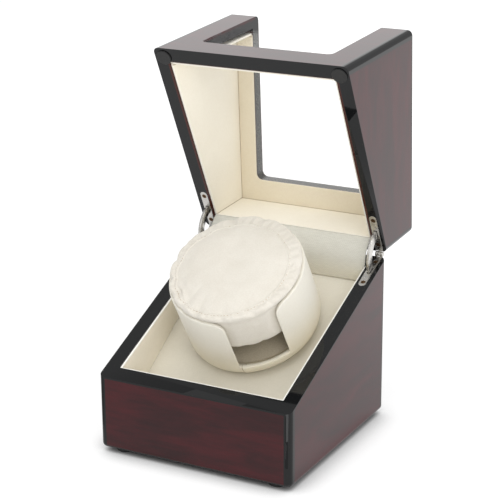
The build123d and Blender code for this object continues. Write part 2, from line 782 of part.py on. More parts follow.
# Rear plate, its opening in the back wall, and the fittings that it carries
plate_y = half_depth
plate_z = foot_height + rear_plate_rise
plate_low_x, plate_high_x = rear_plate_x - rear_plate_width / 2, rear_plate_x + rear_plate_width / 2
plate_low_z, plate_high_z = plate_z - rear_plate_height / 2, plate_z + rear_plate_height / 2
plate_out = plate_y + rear_plate_thickness
board_back = plate_y - board_depth
board_front = board_back - board_thickness
cut_low = (plate_low_x + rear_cut_margin, 0, plate_low_z + rear_cut_margin)
cut_high = (plate_high_x - rear_cut_margin, case_depth, plate_high_z - rear_cut_margin)
knob_x = rear_plate_x + knob_from_centre
inlet_x = rear_plate_x + inlet_from_centre


def facing_back(x, z, y, shape):
    """Turns a shape drawn up the z axis to point out of the back wall, from (x, y, z)."""
    return Pos(x, y, z) * Rot(-90, 0, 0) * shape


rear_plate = block((plate_low_x, plate_y, plate_low_z), (plate_high_x, plate_out, plate_high_z))
rear_plate = fillet(rear_plate.edges().filter_by(Axis.Y), rear_cut_margin)
rear_plate = fillet(rear_plate.faces().sort_by(Axis.Y)[-1].edges(), rear_plate_thickness / 3)
board_low = (cut_low[0] + board_margin, board_front, cut_low[2] + board_margin)
board_high = (cut_high[0] - board_margin, board_back, cut_high[2] - board_margin)
control_board = block(board_low, board_high)
post_places = [
    (x, z)
    for x in (board_low[0] + board_post_inset, board_high[0] - board_post_inset)
    for z in (board_low[2] + board_post_inset, board_high[2] - board_post_inset)
]
circuit_screw_sizes = (circuit_screw_head, circuit_screw_shank, circuit_screw_length)
board_screw_shape = facing_back(0, 0, 0, Rot(180, 0, 0) * screw(*circuit_screw_sizes))
board_screw_hole = facing_back(0, 0, 0, Rot(180, 0, 0) * screw_room(*circuit_screw_sizes))
board_screws = []
for x, z in post_places:
    rear_plate = rear_plate + facing_back(x, z, board_back, rod(board_post_radius, 0, board_depth))
    rear_plate = rear_plate - Pos(x, board_front, z) * board_screw_hole
    control_board = control_board - Pos(x, board_front, z) * board_screw_hole
    board_screws.append(Pos(x, board_front, z) * board_screw_shape)

half_inlet = inlet_size / 2
inlet = block(
    (inlet_x - half_inlet, board_back, plate_z - half_inlet),
    (inlet_x + half_inlet, plate_out, plate_z + half_inlet),
)
inlet_hole_low = plate_out - inlet_bore_depth
inlet = inlet - facing_back(inlet_x, plate_z, inlet_hole_low, rod(inlet_bore_radius, 0, beyond))
inlet_pin = rod(inlet_pin_radius, -inlet_pin_radius, inlet_bore_depth - inlet_pin_radius)
inlet = inlet + facing_back(inlet_x, plate_z, inlet_hole_low, inlet_pin)
rear_plate = rear_plate - block(
    (inlet_x - half_inlet - joint_gap, board_back, plate_z - half_inlet - joint_gap),
    (inlet_x + half_inlet + joint_gap, case_depth, plate_z + half_inlet + joint_gap),
)

half_switch = switch_size / 2
switch_back = board_back + switch_depth
mode_switch = block(
    (knob_x - half_switch, board_back, plate_z - half_switch),
    (knob_x + half_switch, switch_back, plate_z + half_switch),
)
knob_bore_low = board_back + knob_bore_depth
switch_collar = rod(switch_collar_radius, 0, plate_y - switch_back)
switch_bore = rod(knob_shaft_radius + running_gap, 0, beyond)
mode_switch = mode_switch + facing_back(knob_x, plate_z, switch_back, switch_collar)
mode_switch = mode_switch - facing_back(knob_x, plate_z, knob_bore_low, switch_bore)
knob_hole = rod(knob_shaft_radius + end_gap, 0, beyond * 2)
rear_plate = rear_plate - facing_back(knob_x, plate_z, board_back, knob_hole)
knob_low = plate_out + end_gap
knob_cap = rod(knob_radius, 0, knob_length)
knob_cap = fillet(knob_cap.edges().group_by(Axis.Z)[-1], knob_edge_radius)
knob_flute = Pos(knob_radius + knob_flute_radius / 2, 0, 0) * rod(
    knob_flute_radius, knob_flute_start, knob_length + end_gap
)
for step in range(knob_flutes):
    knob_cap = knob_cap - Rot(0, 0, step * 360 / knob_flutes) * knob_flute
knob_mark_end = knob_radius - knob_flute_radius * 2
knob_cap = knob_cap - block(
    (-knob_mark_width / 2, knob_mark_end - knob_mark_length, knob_length - knob_mark_depth),
    (knob_mark_width / 2, knob_mark_end, knob_length + end_gap),
)
mode_knob = facing_back(knob_x, plate_z, knob_low, knob_cap)
mode_knob = mode_knob + facing_back(
    knob_x, plate_z, 0, rod(knob_shaft_radius, knob_bore_low + end_gap, knob_low + 1)
)

rear_screw_places = [(plate_low_x + rear_screw_inset, plate_z), (plate_high_x - rear_screw_inset, plate_z)]
rear_screw_sizes = (rear_screw_head, rear_screw_shank, rear_screw_length)
rear_screws = []
base_walls["back"] = base_walls["back"] - block(cut_low, cut_high)
for x, z in rear_screw_places:
    hole = facing_back(x, z, plate_out, screw_room(*rear_screw_sizes))
    rear_plate = rear_plate - hole
    base_walls["back"] = base_walls["back"] - hole
    rear_screws.append(facing_back(x, z, plate_out, screw(*rear_screw_sizes)))

# Leads from the motor's terminals to the control board
lead_start = (-motor_offset + terminal_face, 0, terminal_low + terminal_height / 2)
lead_from = tilt * Pos(*lead_start)
lead_y, lead_z = lead_from.position.Y, lead_from.position.Z
lead_end_x = board_low[0] + board_post_inset * 2
lead_points = [
    (lead_start[0], lead_y, lead_z),
    (lead_start[0] + lead_straight, lead_y, lead_z),
    (lead_end_x, lead_y, lead_z + lead_rise),
    (lead_end_x, board_front, lead_z + lead_rise),
]
motor_leads = []
for side in (-0.5, 0.5):
    shift_z = side * lead_spacing
    route = FilletPolyline([(x, y, z + shift_z) for x, y, z in lead_points], radius=lead_bend)
    motor_leads.append(sweep(Plane(route @ 0, z_dir=route % 0) * Circle(lead_radius), path=route))

# Bottom board and battens
bottom = block(
    (-inner_x + joint_gap, inner_front + joint_gap, foot_height),
    (inner_x - joint_gap, inner_back - joint_gap, board_top),
)
board_screw_sizes = (board_screw_head, board_screw_shank, board_screw_length)
board_battens = []
panel_battens = []
bottom_screws = []
for sign in (-1, 1):
    x_low, x_high = sorted((sign * (inner_x - batten), sign * inner_x))
    board_batten_front = batten_back - board_batten_length
    strip_bar = block((x_low, board_batten_front, board_top), (x_high, batten_back, board_top + batten))
    for y in (board_batten_front + board_screw_inset, batten_back - board_screw_inset):
        place = Pos(sign * (inner_x - batten / 2), y, foot_height) * Rot(180, 0, 0)
        strip_bar = strip_bar - place * screw_room(*board_screw_sizes)
        bottom = bottom - place * screw_room(*board_screw_sizes)
        bottom_screws.append(place * screw(*board_screw_sizes))
    board_battens.append(strip_bar)
    panel_battens.append(leaning_bar(
        panel_thickness, panel_thickness + batten,
        batten_back - panel_batten_length, batten_back, x_low, x_high,
    ))
foot = rod(foot_diameter / 2, 0, foot_height)
foot = fillet(foot.edges().group_by(Axis.Z)[0], foot_edge_radius)
feet = [
    Pos(x, y, 0) * foot
    for x in (-half_width + foot_side_inset, half_width - foot_side_inset)
    for y in (-half_depth + foot_end_inset, half_depth - foot_end_inset)
]

# Bumpers on the front corners of the lid's rim
bumper_y = -half_depth + bumper_inset
bumper_shape = rod(bumper_diameter / 2, -bumper_thickness, 0)
bumper_shape = fillet(bumper_shape.edges().group_by(Axis.Z)[0], bumper_thickness / 3)
bumpers = [
    Pos(x, bumper_y, rim_z(bumper_y, rim_gap)) * Rot(rim_angle, 0, 0) * bumper_shape
    for x in (-half_width + bumper_inset, half_width - bumper_inset)
]

# Base
for side, shape in base_walls.items():
    add("base", f"base_{side}_panel", shape)
add("base", "bottom_board", bottom)
add("base", "board_battens", group(board_battens))
add("base", "panel_battens", group(panel_battens))
add("base", "bottom_screws", group(bottom_screws))
add("base", "rubber_feet", group(feet))
add("base", "base_front_lining", base_front_lining)
add("base", "base_back_lining", base_back_lining)
add("base", "base_left_lining", bar_along_x(base_side, -inner_x, -lined_x))
add("base", "base_right_lining", bar_along_x(base_side, lined_x, inner_x))
add("base", "hinge_strip", hinge_strip)
add("base", "rotor_panel", rotor_panel)
add("base", "drive_chassis", tilt * chassis)
add("base", "chassis_screws", group(
    [tilt * Pos(x, t, chassis_low) * chassis_screw for x, t in chassis_screw_places]
))
add("base", "shaft_bush", tilt * bush)
add("base", "gear_motor", tilt * Pos(-motor_offset, 0, 0) * motor)
add("base", "motor_screws", group(
    [tilt * Pos(-motor_offset, t, ear_low) * chassis_screw for t in (-post_offset, post_offset)]
))
add("base", "motor_leads", group(motor_leads))
add("base", "drive_belt", tilt * drive_belt)
add("base", "control_board", control_board)
add("base", "board_screws", group(board_screws))
add("base", "mode_switch", mode_switch)
add("base", "power_inlet", inlet)
add("base", "rear_plate", rear_plate)
add("base", "rear_plate_screws", group(rear_screws))
add("base", "hinge_leaf_base_left", at_hinge(-hinge_x, base_leaf))
add("base", "hinge_leaf_base_right", at_hinge(hinge_x, base_leaf))
add("base", "hinge_screws_base", group(
    [at_hinge(x, shape) for x in (-hinge_x, hinge_x) for shape in base_leaf_screws]
))
add("base", "hinge_pins", group(
    [at_hinge(x, Rot(0, 90, 0) * rod(pin_radius, -half_barrel, half_barrel)) for x in (-hinge_x, hinge_x)]
))

# Lid
for side, shape in lid_walls.items():
    add("lid", f"lid_{side}_panel", opened(shape))
add("lid", "window_pane", opened(window_pane))
add("lid", "lid_top_lining", opened(lid_top_lining))
add("lid", "lid_front_lining", opened(lid_front_lining))
add("lid", "lid_back_lining", opened(lid_back_lining))
add("lid", "lid_left_lining", opened(bar_along_x(lid_side, -inner_x, -lined_x)))
add("lid", "lid_right_lining", opened(bar_along_x(lid_side, lined_x, inner_x)))
add("lid", "bumper_pads", group([opened(shape) for shape in bumpers]))
add("lid", "hinge_leaf_lid_left", opened(at_hinge(-hinge_x, lid_leaf)))
add("lid", "hinge_leaf_lid_right", opened(at_hinge(hinge_x, lid_leaf)))
add("lid", "hinge_screws_lid", group(
    [opened(at_hinge(x, shape)) for x in (-hinge_x, hinge_x) for shape in lid_leaf_screws]
))

# Stays, rotor, motor pulley, cushion and knob
add("stay_left", "stay_arm_left", at_hinge(-hinge_x, stay))
add("stay_right", "stay_arm_right", at_hinge(hinge_x, stay))
add("rotor", "drum_cup", tilt * drum)
add("rotor", "drum_floor_pad", tilt * pad)
add("rotor", "drum_hub", tilt * hub)
add("rotor", "hub_screws", group(
    [tilt * place * screw(hub_screw_head, hub_screw_shank, hub_screw_length) for place in hub_screw_places]
))
add("rotor", "rotor_shaft", tilt * shaft)
add("rotor", "driven_pulley", tilt * pulley(drum_pitch_radius, shaft_radius + press_gap))
add("rotor", "shaft_clip", tilt * clip)
add("motor_rotor", "motor_pulley", tilt * Pos(-motor_offset, 0, 0) * pulley(
    motor_pitch_radius, motor_shaft_radius + press_gap
))
add("motor_rotor", "motor_shaft", tilt * Pos(-motor_offset, 0, 0) * rod(
    motor_shaft_radius, motor_top - motor_shaft_depth + end_gap, belt_top
))
add("cushion", "watch_cushion", tilt * cushion)
add("knob", "mode_knob", mode_knob)

# The origin is under the middle of the whole, lid open, so everything moves forward by the
# same step before it is written
everything = Compound(children=[group([shape]) for nodes in bodies.values() for shape in nodes.values()])
reach = everything.bounding_box()
forward = -(reach.min.Y + reach.max.Y) / 2

os.makedirs("parts", exist_ok=True)
for nodes in bodies.values():
    for node, shape in nodes.items():
        export_step(Pos(0, forward, 0) * group([shape]), f"parts/{node}.step")
print(f"{sum(len(nodes) for nodes in bodies.values())} nodes, moved by {forward:.3f}")
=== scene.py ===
"""The open watch winder as it is finished: lacquered veneer with black edges, cream linings,
a woven tape over the hinge gap, a covered drum with a sewn cushion, and nickel fittings."""
import json
import math

import bmesh
import bpy
import numpy as np
from mathutils import Matrix, Vector


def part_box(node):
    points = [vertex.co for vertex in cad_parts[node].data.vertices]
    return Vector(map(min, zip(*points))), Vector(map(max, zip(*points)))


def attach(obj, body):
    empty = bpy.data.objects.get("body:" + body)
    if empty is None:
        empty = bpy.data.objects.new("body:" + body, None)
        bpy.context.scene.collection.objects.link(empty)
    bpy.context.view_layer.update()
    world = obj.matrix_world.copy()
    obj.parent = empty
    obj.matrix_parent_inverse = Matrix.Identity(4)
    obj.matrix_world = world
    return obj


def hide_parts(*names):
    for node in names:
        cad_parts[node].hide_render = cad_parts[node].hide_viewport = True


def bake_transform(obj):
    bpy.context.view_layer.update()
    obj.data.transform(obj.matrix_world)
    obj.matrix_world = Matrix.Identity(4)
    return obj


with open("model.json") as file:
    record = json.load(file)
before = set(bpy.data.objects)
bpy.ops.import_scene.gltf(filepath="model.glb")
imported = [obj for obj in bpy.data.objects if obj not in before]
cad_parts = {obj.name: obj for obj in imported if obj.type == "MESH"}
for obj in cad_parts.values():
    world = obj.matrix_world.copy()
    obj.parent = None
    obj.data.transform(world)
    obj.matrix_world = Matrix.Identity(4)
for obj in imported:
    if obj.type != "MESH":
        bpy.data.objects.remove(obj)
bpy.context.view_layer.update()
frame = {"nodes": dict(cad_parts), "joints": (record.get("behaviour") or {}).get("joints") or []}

# Camera: a long lens in front of the case's right corner, which looks down at the open case
# with the small tilt that the photograph has.
MM = 0.001
camera_place = Vector((447.68, -853.40, 424.80)) * MM
camera_turn = math.radians(28.079)
camera_drop = math.radians(18.087)
camera_tilt = math.radians(-0.346)
camera_data = bpy.data.cameras.new("view")
camera_data.sensor_width = 36.0
camera_data.lens = 121.16
camera_data.clip_end = 20.0
camera = bpy.data.objects.new("view", camera_data)
bpy.context.scene.collection.objects.link(camera)
camera.matrix_world = (
    Matrix.Translation(camera_place)
    @ Matrix.Rotation(camera_turn, 4, "Z")
    @ Matrix.Rotation(math.pi / 2 - camera_drop, 4, "X")
    @ Matrix.Rotation(camera_tilt, 4, "Z")
)
bpy.context.scene.camera = camera
bpy.context.scene.view_settings.view_transform = "Standard"


# Table top: a plain white sweep that runs out past the picture's edges. It is matt card that glows
# with painted light, dimmed by a painted contact shadow near the case, and its glow lights the case a
# little from below.
class Line:
    """A value in a material: one output of a node, or the empty material itself."""

    def __init__(self, tree, socket=None):
        self.tree = tree
        self.socket = socket

    def node(self, kind, settings=None, inputs=None, output=0):
        """Adds a node: its settings are set first, then the values or links of its sockets."""
        made = self.tree.nodes.new("ShaderNode" + kind)
        for key, value in (settings or {}).items():
            if key == "stops":
                for _ in value[2:]:
                    made.color_ramp.elements.new(0.5)
                for element, (place, shade) in zip(made.color_ramp.elements, value):
                    element.position = place
                    element.color = (*shade, 1.0)
            else:
                setattr(made, key, value)
        for key, value in (inputs or {}).items():
            if isinstance(value, Line):
                self.tree.links.new(value.socket, made.inputs[key])
            else:
                made.inputs[key].default_value = value
        return Line(self.tree, made.outputs[output])

    def maths(self, operation, *values):
        """A Math node on this value and the others."""
        return self.node("Math", {"operation": operation}, dict(enumerate((self, *values))))

    def __add__(self, other):
        return self.maths("ADD", other)

    def __sub__(self, other):
        return self.maths("SUBTRACT", other)

    def __mul__(self, other):
        return self.maths("MULTIPLY", other)

    def __truediv__(self, other):
        return self.maths("DIVIDE", other)

    __radd__ = __add__

    def __rsub__(self, other):
        return (self * -1.0) + other

    def __abs__(self):
        return self.maths("ABSOLUTE")

    def least(self, other):
        return self.maths("MINIMUM", other)

    def most(self, other):
        return self.maths("MAXIMUM", other)

    def step(self, low, high):
        """0 below low, 1 above high, smooth between them."""
        settings = {"interpolation_type": "SMOOTHSTEP"}
        return self.node("MapRange", settings, {"Value": self, "From Min": low, "From Max": high})

    def part(self, axis):
        """One coordinate of a vector."""
        return self.node("SeparateXYZ", None, {0: self}, output="XYZ".index(axis))

    def millimetres(self):
        """The three coordinates of a place, in millimetres."""
        return [self.part(axis) / MM for axis in "XYZ"]

    def stretched(self, x, y, z):
        """The vector scaled along each axis."""
        return self.node("VectorMath", {"operation": "MULTIPLY"}, {0: self, 1: (x, y, z)})

    def cloud(self, scale, detail=2.0, roughness=0.5, distortion=0.0):
        """Soft noise of that many features to the metre, from 0 to 1."""
        return self.node("TexNoise", None, {
            "Vector": self, "Scale": scale, "Detail": detail, "Roughness": roughness,
            "Distortion": distortion,
        })

    def cells(self, scale):
        """Distance to the nearest of scattered points, that many to the metre."""
        return self.node("TexVoronoi", None, {"Vector": self, "Scale": scale})

    def over(self, below, above):
        """A colour that is one line where this value is 0 and another where it is 1."""
        colours = {"Factor": self, 6: below, 7: above}
        return self.node("Mix", {"data_type": "RGBA"}, colours, output=2)

    def tint(self, low, high):
        """A colour between two plain ones, by this value."""
        return self.over((*low, 1.0), (*high, 1.0))

    def relief(self, height, strength=1.0):
        """A normal from this value as a height, in metres."""
        return self.node("Bump", None, {"Height": self, "Distance": height, "Strength": strength})


def finish(name, **sockets):
    """A material whose surface has the given Principled sockets; each may be a number, a
    colour, or a function of the piece's own Object coordinates."""
    material = bpy.data.materials.new(name)
    material.use_nodes = True
    tree = material.node_tree
    tree.nodes.clear()
    start = Line(tree)
    place = start.node("TexCoord", output="Object")
    values = {}
    for key, value in sockets.items():
        made = value(place) if callable(value) else value
        made = (*made, 1.0) if isinstance(made, tuple) and len(made) == 3 else made
        values[key.replace("_", " ")] = made
    surface = start.node("BsdfPrincipled", None, values)
    ending = tree.nodes.new("ShaderNodeOutputMaterial")
    tree.links.new(surface.socket, ending.inputs["Surface"])
    return material


def surface_piece(name, points, faces, material, smooth_angle=30.0):
    """A mesh object from points in millimetres, with every edge flatter than the angle smooth."""
    mesh = bpy.data.meshes.new(name)
    mesh.from_pydata((np.asarray(points, float).reshape(-1, 3) * MM).tolist(), [], faces)
    mesh.validate()
    mesh.shade_smooth()
    mesh.set_sharp_from_angle(angle=math.radians(smooth_angle))
    piece = bpy.data.objects.new(name, mesh)
    bpy.context.scene.collection.objects.link(piece)
    mesh.materials.append(material)
    return piece


table_reach = 6000.0
table_level = -0.05
# The card's painted glow: the reach of its painted contact shadow, its glow near the case, and its
# extra glow far off.
painted_shadow_reach = 22.0
painted_glow_near_case = 0.72
painted_glow_far_gain = 0.4


def card_painted_glow_and_shadow(place):
    """Painted light that the card glows with, dimmed into a painted contact shadow where something
    stands close above it, and painted brighter on the far right than near the case."""
    reach = {"Distance": painted_shadow_reach * MM}
    painted_shadow_openness = place.node("AmbientOcclusion", {"samples": 12}, reach, output=1)
    painted_far_light = ((place.part("X") + place.part("Y")) / MM).step(60.0, 600.0)
    glow = painted_shadow_openness.step(0.14, 0.95) * (painted_glow_near_case + painted_far_light * painted_glow_far_gain)
    return glow.tint((0.0, 0.0, 0.0), (1.0, 1.0, 1.0))


# The card's own colour is a dim grey. Its whiteness is painted glow, with a painted contact shadow near
# the case.
white_card = finish(
    "white_card", Base_Color=(0.35, 0.35, 0.35), Roughness=1.0, Specular_IOR_Level=0.0,
    Emission_Color=card_painted_glow_and_shadow, Emission_Strength=1.0,
)
corners = [
    (x * table_reach, y * table_reach, table_level) for x, y in ((-1, -1), (1, -1), (1, 1), (-1, 1))
]
surface_piece("table_top", corners, [(0, 1, 2, 3)], white_card)

# Studio: a dim white tent, a large soft box overhead, one low on the right in front that shows
# as pale sheets in the lacquer, two weak ones that open up the shadows, and a bright panel
# behind that the lid's upturned front reflects.
world = bpy.data.worlds.new("surround")
world.use_nodes = True
tent = world.node_tree.nodes["Background"]
tent.inputs["Color"].default_value = (1.0, 1.0, 1.0, 1.0)
tent.inputs["Strength"].default_value = 0.64
bpy.context.scene.world = world
studio_lights = [
    ("overhead_box", (0.1, -0.4, 1.6), 0.1, 1.2, 10.0),
    ("side_box", (1.1, -1.1, 0.7), 0.1, 0.9, 7.2),
    ("left_box", (-0.5, -1.3, 0.9), 0.1, 0.9, 1.5),
    ("right_box", (1.5, 0.1, 0.5), 0.1, 0.9, 1.8),
    ("back_panel", (-1.1, 2.05, 1.05), 0.2, 1.4, 4.6),
]


def soft_box(name, place, aim_height, width, power):
    """A square area light that faces a point on the axis through the case's middle; its place,
    aim and width are in metres and its power in watts."""
    data = bpy.data.lights.new(name, "AREA")
    data.shape = "SQUARE"
    data.size = width
    data.energy = power
    lamp = bpy.data.objects.new(name, data)
    bpy.context.scene.collection.objects.link(lamp)
    lamp.location = place
    facing = Vector((0, 0, aim_height)) - Vector(place)
    lamp.rotation_euler = facing.to_track_quat("-Z", "Y").to_euler()


for light in studio_lights:
    soft_box(*light)

# Case walls: mitred boards faced with mahogany veneer and sprayed with clear gloss lacquer.
# Their roundings, rims and cut edges are sprayed black before the clear coat.
hinge_joint = next(joint for joint in frame["joints"] if joint["name"] == "lid_hinge")
hinge_place = Vector(hinge_joint["pos_m"])
lid_shut_turn = math.radians(hinge_joint["range_deg"][1])
wall_low = np.array(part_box("base_left_panel")[0]) / MM
back_high = np.array(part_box("base_back_panel")[1]) / MM
case_half_width = -wall_low[0]
case_front = wall_low[1]
case_back = back_high[1]
case_under = wall_low[2]
case_height = 142.4
case_wall = 9.0
case_back_wall = 8.7
case_top_wall = 9.9
case_rounding = 3.6
case_rim_front = 45.4
case_rim_back = 99.4
lid_rim_gap = 1.2
black_edge = 4.3
black_sole = 1.6
black_softness = 0.15
black_in_depth = (0.5, 0.7)
black_at_rim = (0.45, 0.6)
red_ground = 7.6
red_softness = 0.1
rim_ease = 0.35
sharp_arris = math.radians(35)
on_surface = 0.02
on_mitre = 0.05
case_middle = (case_front + case_back) / 2
case_half_depth = (case_back - case_front) / 2
rim_slope = math.atan2(case_rim_back - case_rim_front, case_back - case_front)


def shut_lid(place):
    """Object coordinates of a lid piece turned to where the piece is with the lid shut."""
    turn = Matrix.Rotation(lid_shut_turn, 3, "X")
    shift = hinge_place - turn @ hinge_place
    return place.node("Mapping", None, {
        "Vector": place, "Rotation": (lid_shut_turn, 0, 0), "Location": shift,
    })


def second_least(first, other, last):
    """The middle one of three values."""
    return first + other + last - first.least(other).least(last) - first.most(other).most(last)


def rim_height(y):
    """The base's sloping rim at a distance along y, in millimetres, of numbers or of values."""
    return (y - case_front) * math.tan(rim_slope) + case_under + case_rim_front


def from_rims(y, z):
    """Distance from the nearer of the base's and the shut lid's rims, square to their slope."""
    return abs((z - rim_height(y)) * math.cos(rim_slope) - lid_rim_gap / 2) - lid_rim_gap / 2


def from_outside(x, y, z):
    """How far in a point lies from the shut case's nearer side, its nearer end and its top."""
    from_side = case_half_width - abs(x)
    from_end = case_half_depth - abs(y - case_middle)
    return from_side, from_end, case_under + case_height - z


def black_mask(place):
    """1 on roundings, rims and cut edges: where a point isn't on exactly one outer face of the
    block, away from the block's edges and from the sloping rim."""
    x, y, z = place.millimetres()
    from_side, from_end, from_top = from_outside(x, y, z)
    from_level = (z - case_under + black_edge - black_sole).least(from_top)
    second = second_least(from_side, from_end, from_level)
    on_face = 1 - from_side.least(from_end).least(from_level).step(*black_in_depth)
    clear_of_edges = second.step(black_edge - black_softness, black_edge + black_softness)
    return 1 - on_face * clear_of_edges * from_rims(y, z).step(*black_at_rim)


def bare_inside(place):
    """1 on the walls' inner faces and on the inner part of the window's cut edges, where the
    black was wiped thin over the red ground coat."""
    from_side, from_end, from_top = from_outside(*place.millimetres())
    depth = from_side.least(from_end).least(from_top)
    return depth.step(red_ground - red_softness, red_ground + red_softness)


def veneer_colour(place, red_inside=0.0):
    """Mahogany figure: long soft clouds of red in near-black brown, with fine dark pores."""
    dark_brown = (0.021, 0.0036, 0.0045)
    deep_red = (0.055, 0.0046, 0.0072)
    pore_brown = (0.016, 0.0035, 0.004)
    black_coat = (0.0062, 0.0066, 0.0070)
    red_coat = (0.050, 0.010, 0.006)
    broad = place.stretched(24, 24, 85).cloud(1.0, 2.0, 0.5, 0.6)
    streak = place.stretched(60, 60, 420).cloud(1.0, 3.0, 0.55, 0.3)
    pores = place.stretched(240, 240, 2600).cloud(1.0, 2.0, 0.6)
    wood = (broad * 0.7 + streak * 0.3).step(0.28, 0.74).tint(dark_brown, deep_red)
    pored = (pores.step(0.56, 0.72) * 0.25).over(wood, (*pore_brown, 1.0))
    black = (bare_inside(place) * red_inside).tint(black_coat, red_coat)
    return black_mask(place).over(pored, black)


def lacquer_relief(place):
    """The faint waviness of a sprayed and buffed coat."""
    return place.cloud(160, 1.0).relief(0.00002)


lacquer = {
    "Roughness": 0.45, "Specular_IOR_Level": 0.0, "Coat_Weight": 1.0, "Coat_IOR": 1.36,
    "Coat_Roughness": 0.03, "Normal": lacquer_relief,
}
base_lacquer = finish("lacquered_veneer_base", Base_Color=veneer_colour, **lacquer)
lid_lacquer = finish(
    "lacquered_veneer_lid", Base_Color=lambda place: veneer_colour(shut_lid(place), 1.0), **lacquer
)


def merged_copy(node):
    """The CAD node's mesh as one clean shell: doubles merged and flat faces joined."""
    shell = bmesh.new()
    shell.from_mesh(frame["nodes"][node].data)
    bmesh.ops.remove_doubles(shell, verts=shell.verts, dist=1e-6)
    bmesh.ops.dissolve_limit(
        shell, angle_limit=math.radians(0.4), verts=shell.verts, edges=shell.edges, delimit={"NORMAL"}
    )
    return shell


def shell_piece(shell, name, material):
    """A piece of one material from a shell, all smooth."""
    mesh = bpy.data.meshes.new(name)
    shell.to_mesh(mesh)
    shell.free()
    mesh.shade_smooth()
    mesh.materials.clear()
    mesh.materials.append(material)
    piece = bpy.data.objects.new(name, mesh)
    bpy.context.scene.collection.objects.link(piece)
    return piece


def shut_points(shell, is_lid):
    """The shell's points in millimetres, with the lid's turned shut."""
    points = np.array([vert.co for vert in shell.verts])
    if is_lid:
        turn = np.array(Matrix.Rotation(lid_shut_turn, 3, "X"))
        points = (points - np.array(hinge_place)) @ turn.T + np.array(hinge_place)
    return points / MM


def wall_marks(points):
    """Which points lie on the block's rounded outside, and which on a mitre's plane."""
    side = np.abs(points[:, 0])
    end = np.abs(points[:, 1] - case_middle)
    top = points[:, 2] - (case_under + case_height - case_rounding)
    over_side = side - (case_half_width - case_rounding)
    over_end = end - (case_half_depth - case_rounding)
    over = np.stack([over_side, over_end, top])
    reach = np.linalg.norm(np.maximum(over, 0), axis=0) + np.minimum(over.max(axis=0), 0)
    outside = np.abs(reach - case_rounding) < on_surface
    wall = np.where(points[:, 1] > case_middle, case_back_wall, case_wall)
    mitre = np.abs((case_half_width - side) * wall - (case_half_depth - end) * case_wall) < on_mitre
    return outside, mitre


def lacquered_wall(node, body, material):
    """A board with its outer arrises eased, as they are before spraying, but tight at its mitres."""
    shell = merged_copy(node)
    points = shut_points(shell, body == "lid")
    outside, mitre = wall_marks(points)
    shell.verts.index_update()
    eased = [
        edge for edge in shell.edges
        if len(edge.link_faces) == 2 and edge.calc_face_angle(0) > sharp_arris
        and all(outside[vert.index] for vert in edge.verts)
        and not all(mitre[vert.index] for vert in edge.verts)
    ]
    bmesh.ops.bevel(
        shell, geom=eased, offset=rim_ease * MM, segments=3, profile=0.5, affect="EDGES",
        clamp_overlap=True,
    )
    piece = shell_piece(shell, node + "_lacquered", material)
    piece.data.set_sharp_from_angle(angle=math.radians(32))
    flat_faces = piece.modifiers.new("flat_faces", "WEIGHTED_NORMAL")
    flat_faces.keep_sharp = True
    flat_faces.weight = 100
    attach(piece, body)
    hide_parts(node)


for side in ("front", "left", "right", "back"):
    lacquered_wall(f"base_{side}_panel", "base", base_lacquer)
for side in ("front", "left", "right", "back", "top"):
    lacquered_wall(f"lid_{side}_panel", "lid", lid_lacquer)

# Linings: thin card boards wrapped in cream artificial leather and glued inside the walls.
# The wrap rounds each board's edges, and its fine grain shows only close up.
def leather_relief(place):
    """Fine pebbled grain, less than half a millimetre across."""
    pebbles = place.cells(2300.0)
    haze = place.cloud(900.0)
    return (pebbles * 0.6 + haze * 0.4).relief(0.00006, 0.6)


def leather_drift(place):
    """0 to 1 between the leather's two shades: slow patches and a fine linen grain."""
    grain = (place.cloud(1100.0) * 0.6 + place.cloud(420.0) * 0.4).step(0.34, 0.66)
    return place.cloud(22.0, 3.0, 0.6).step(0.3, 0.7) * 0.55 + grain * 0.45


leather_feel = {
    "Normal": leather_relief, "Roughness": 0.6, "Specular_IOR_Level": 0.3, "Sheen_Weight": 0.08,
}
lining_thickness = 1.3
lining_half_width = case_half_width - case_wall - lining_thickness
lining_half_length = case_half_depth - (case_wall + case_back_wall) / 2 - lining_thickness
lining_middle = case_middle + (case_wall - case_back_wall) / 2
lining_top = case_under + case_height - case_top_wall - lining_thickness
# Painted shade in the linings' corner creases: a dark brown line this wide.
crease_width = 0.28
crease_shade_brown = (0.30, 0.22, 0.13)
edge_band = 0.85
edge_softness = 0.15


def crease_shade_mask(place):
    """1 in the painted shade of the crease where two wrapped boards meet: where the second nearest of
    the side, end and top faces is a hair's breadth away."""
    x, y, z = place.millimetres()
    from_side = lining_half_width - abs(x)
    from_end = lining_half_length - abs(y - lining_middle)
    from_corner = second_least(from_side, from_end, lining_top - z)
    return 1 - from_corner.step(crease_width * 0.6, crease_width * 1.4)


def edge_mask(place):
    """1 on the boards' edges beside the rim, where the stretched wrap is thin and pale."""
    y, z = place.part("Y") / MM, place.part("Z") / MM
    return 1 - from_rims(y, z).step(edge_band - edge_softness, edge_band + edge_softness)


def leather(name, light, dark, edge=(0.93, 0.91, 0.86), shut=None):
    """Artificial leather in two near shades, with painted shade in the creases of the corners and its
    own shade on the edges; shut turns a lid piece's coordinates shut."""
    def colour(place):
        closed = shut(place) if shut else place
        ground = leather_drift(place).tint(dark, light)
        # Painted shade laid along the corner creases.
        crease_shaded = (crease_shade_mask(closed) * 0.5).over(ground, (*crease_shade_brown, 1.0))
        return edge_mask(closed).over(crease_shaded, (*edge, 1.0))

    return finish(name, Base_Color=colour, **leather_feel)


lid_edge_cream = (0.82, 0.79, 0.71)
base_leather = leather("cream_lining_base", (0.88, 0.83, 0.715), (0.83, 0.77, 0.65))
# Painted light: the lid's linings use a lighter copy of the same cream leather.
lid_leather_painted_light = leather(
    "cream_lining_lid", (0.945, 0.90, 0.79), (0.895, 0.845, 0.73), lid_edge_cream, shut_lid
)
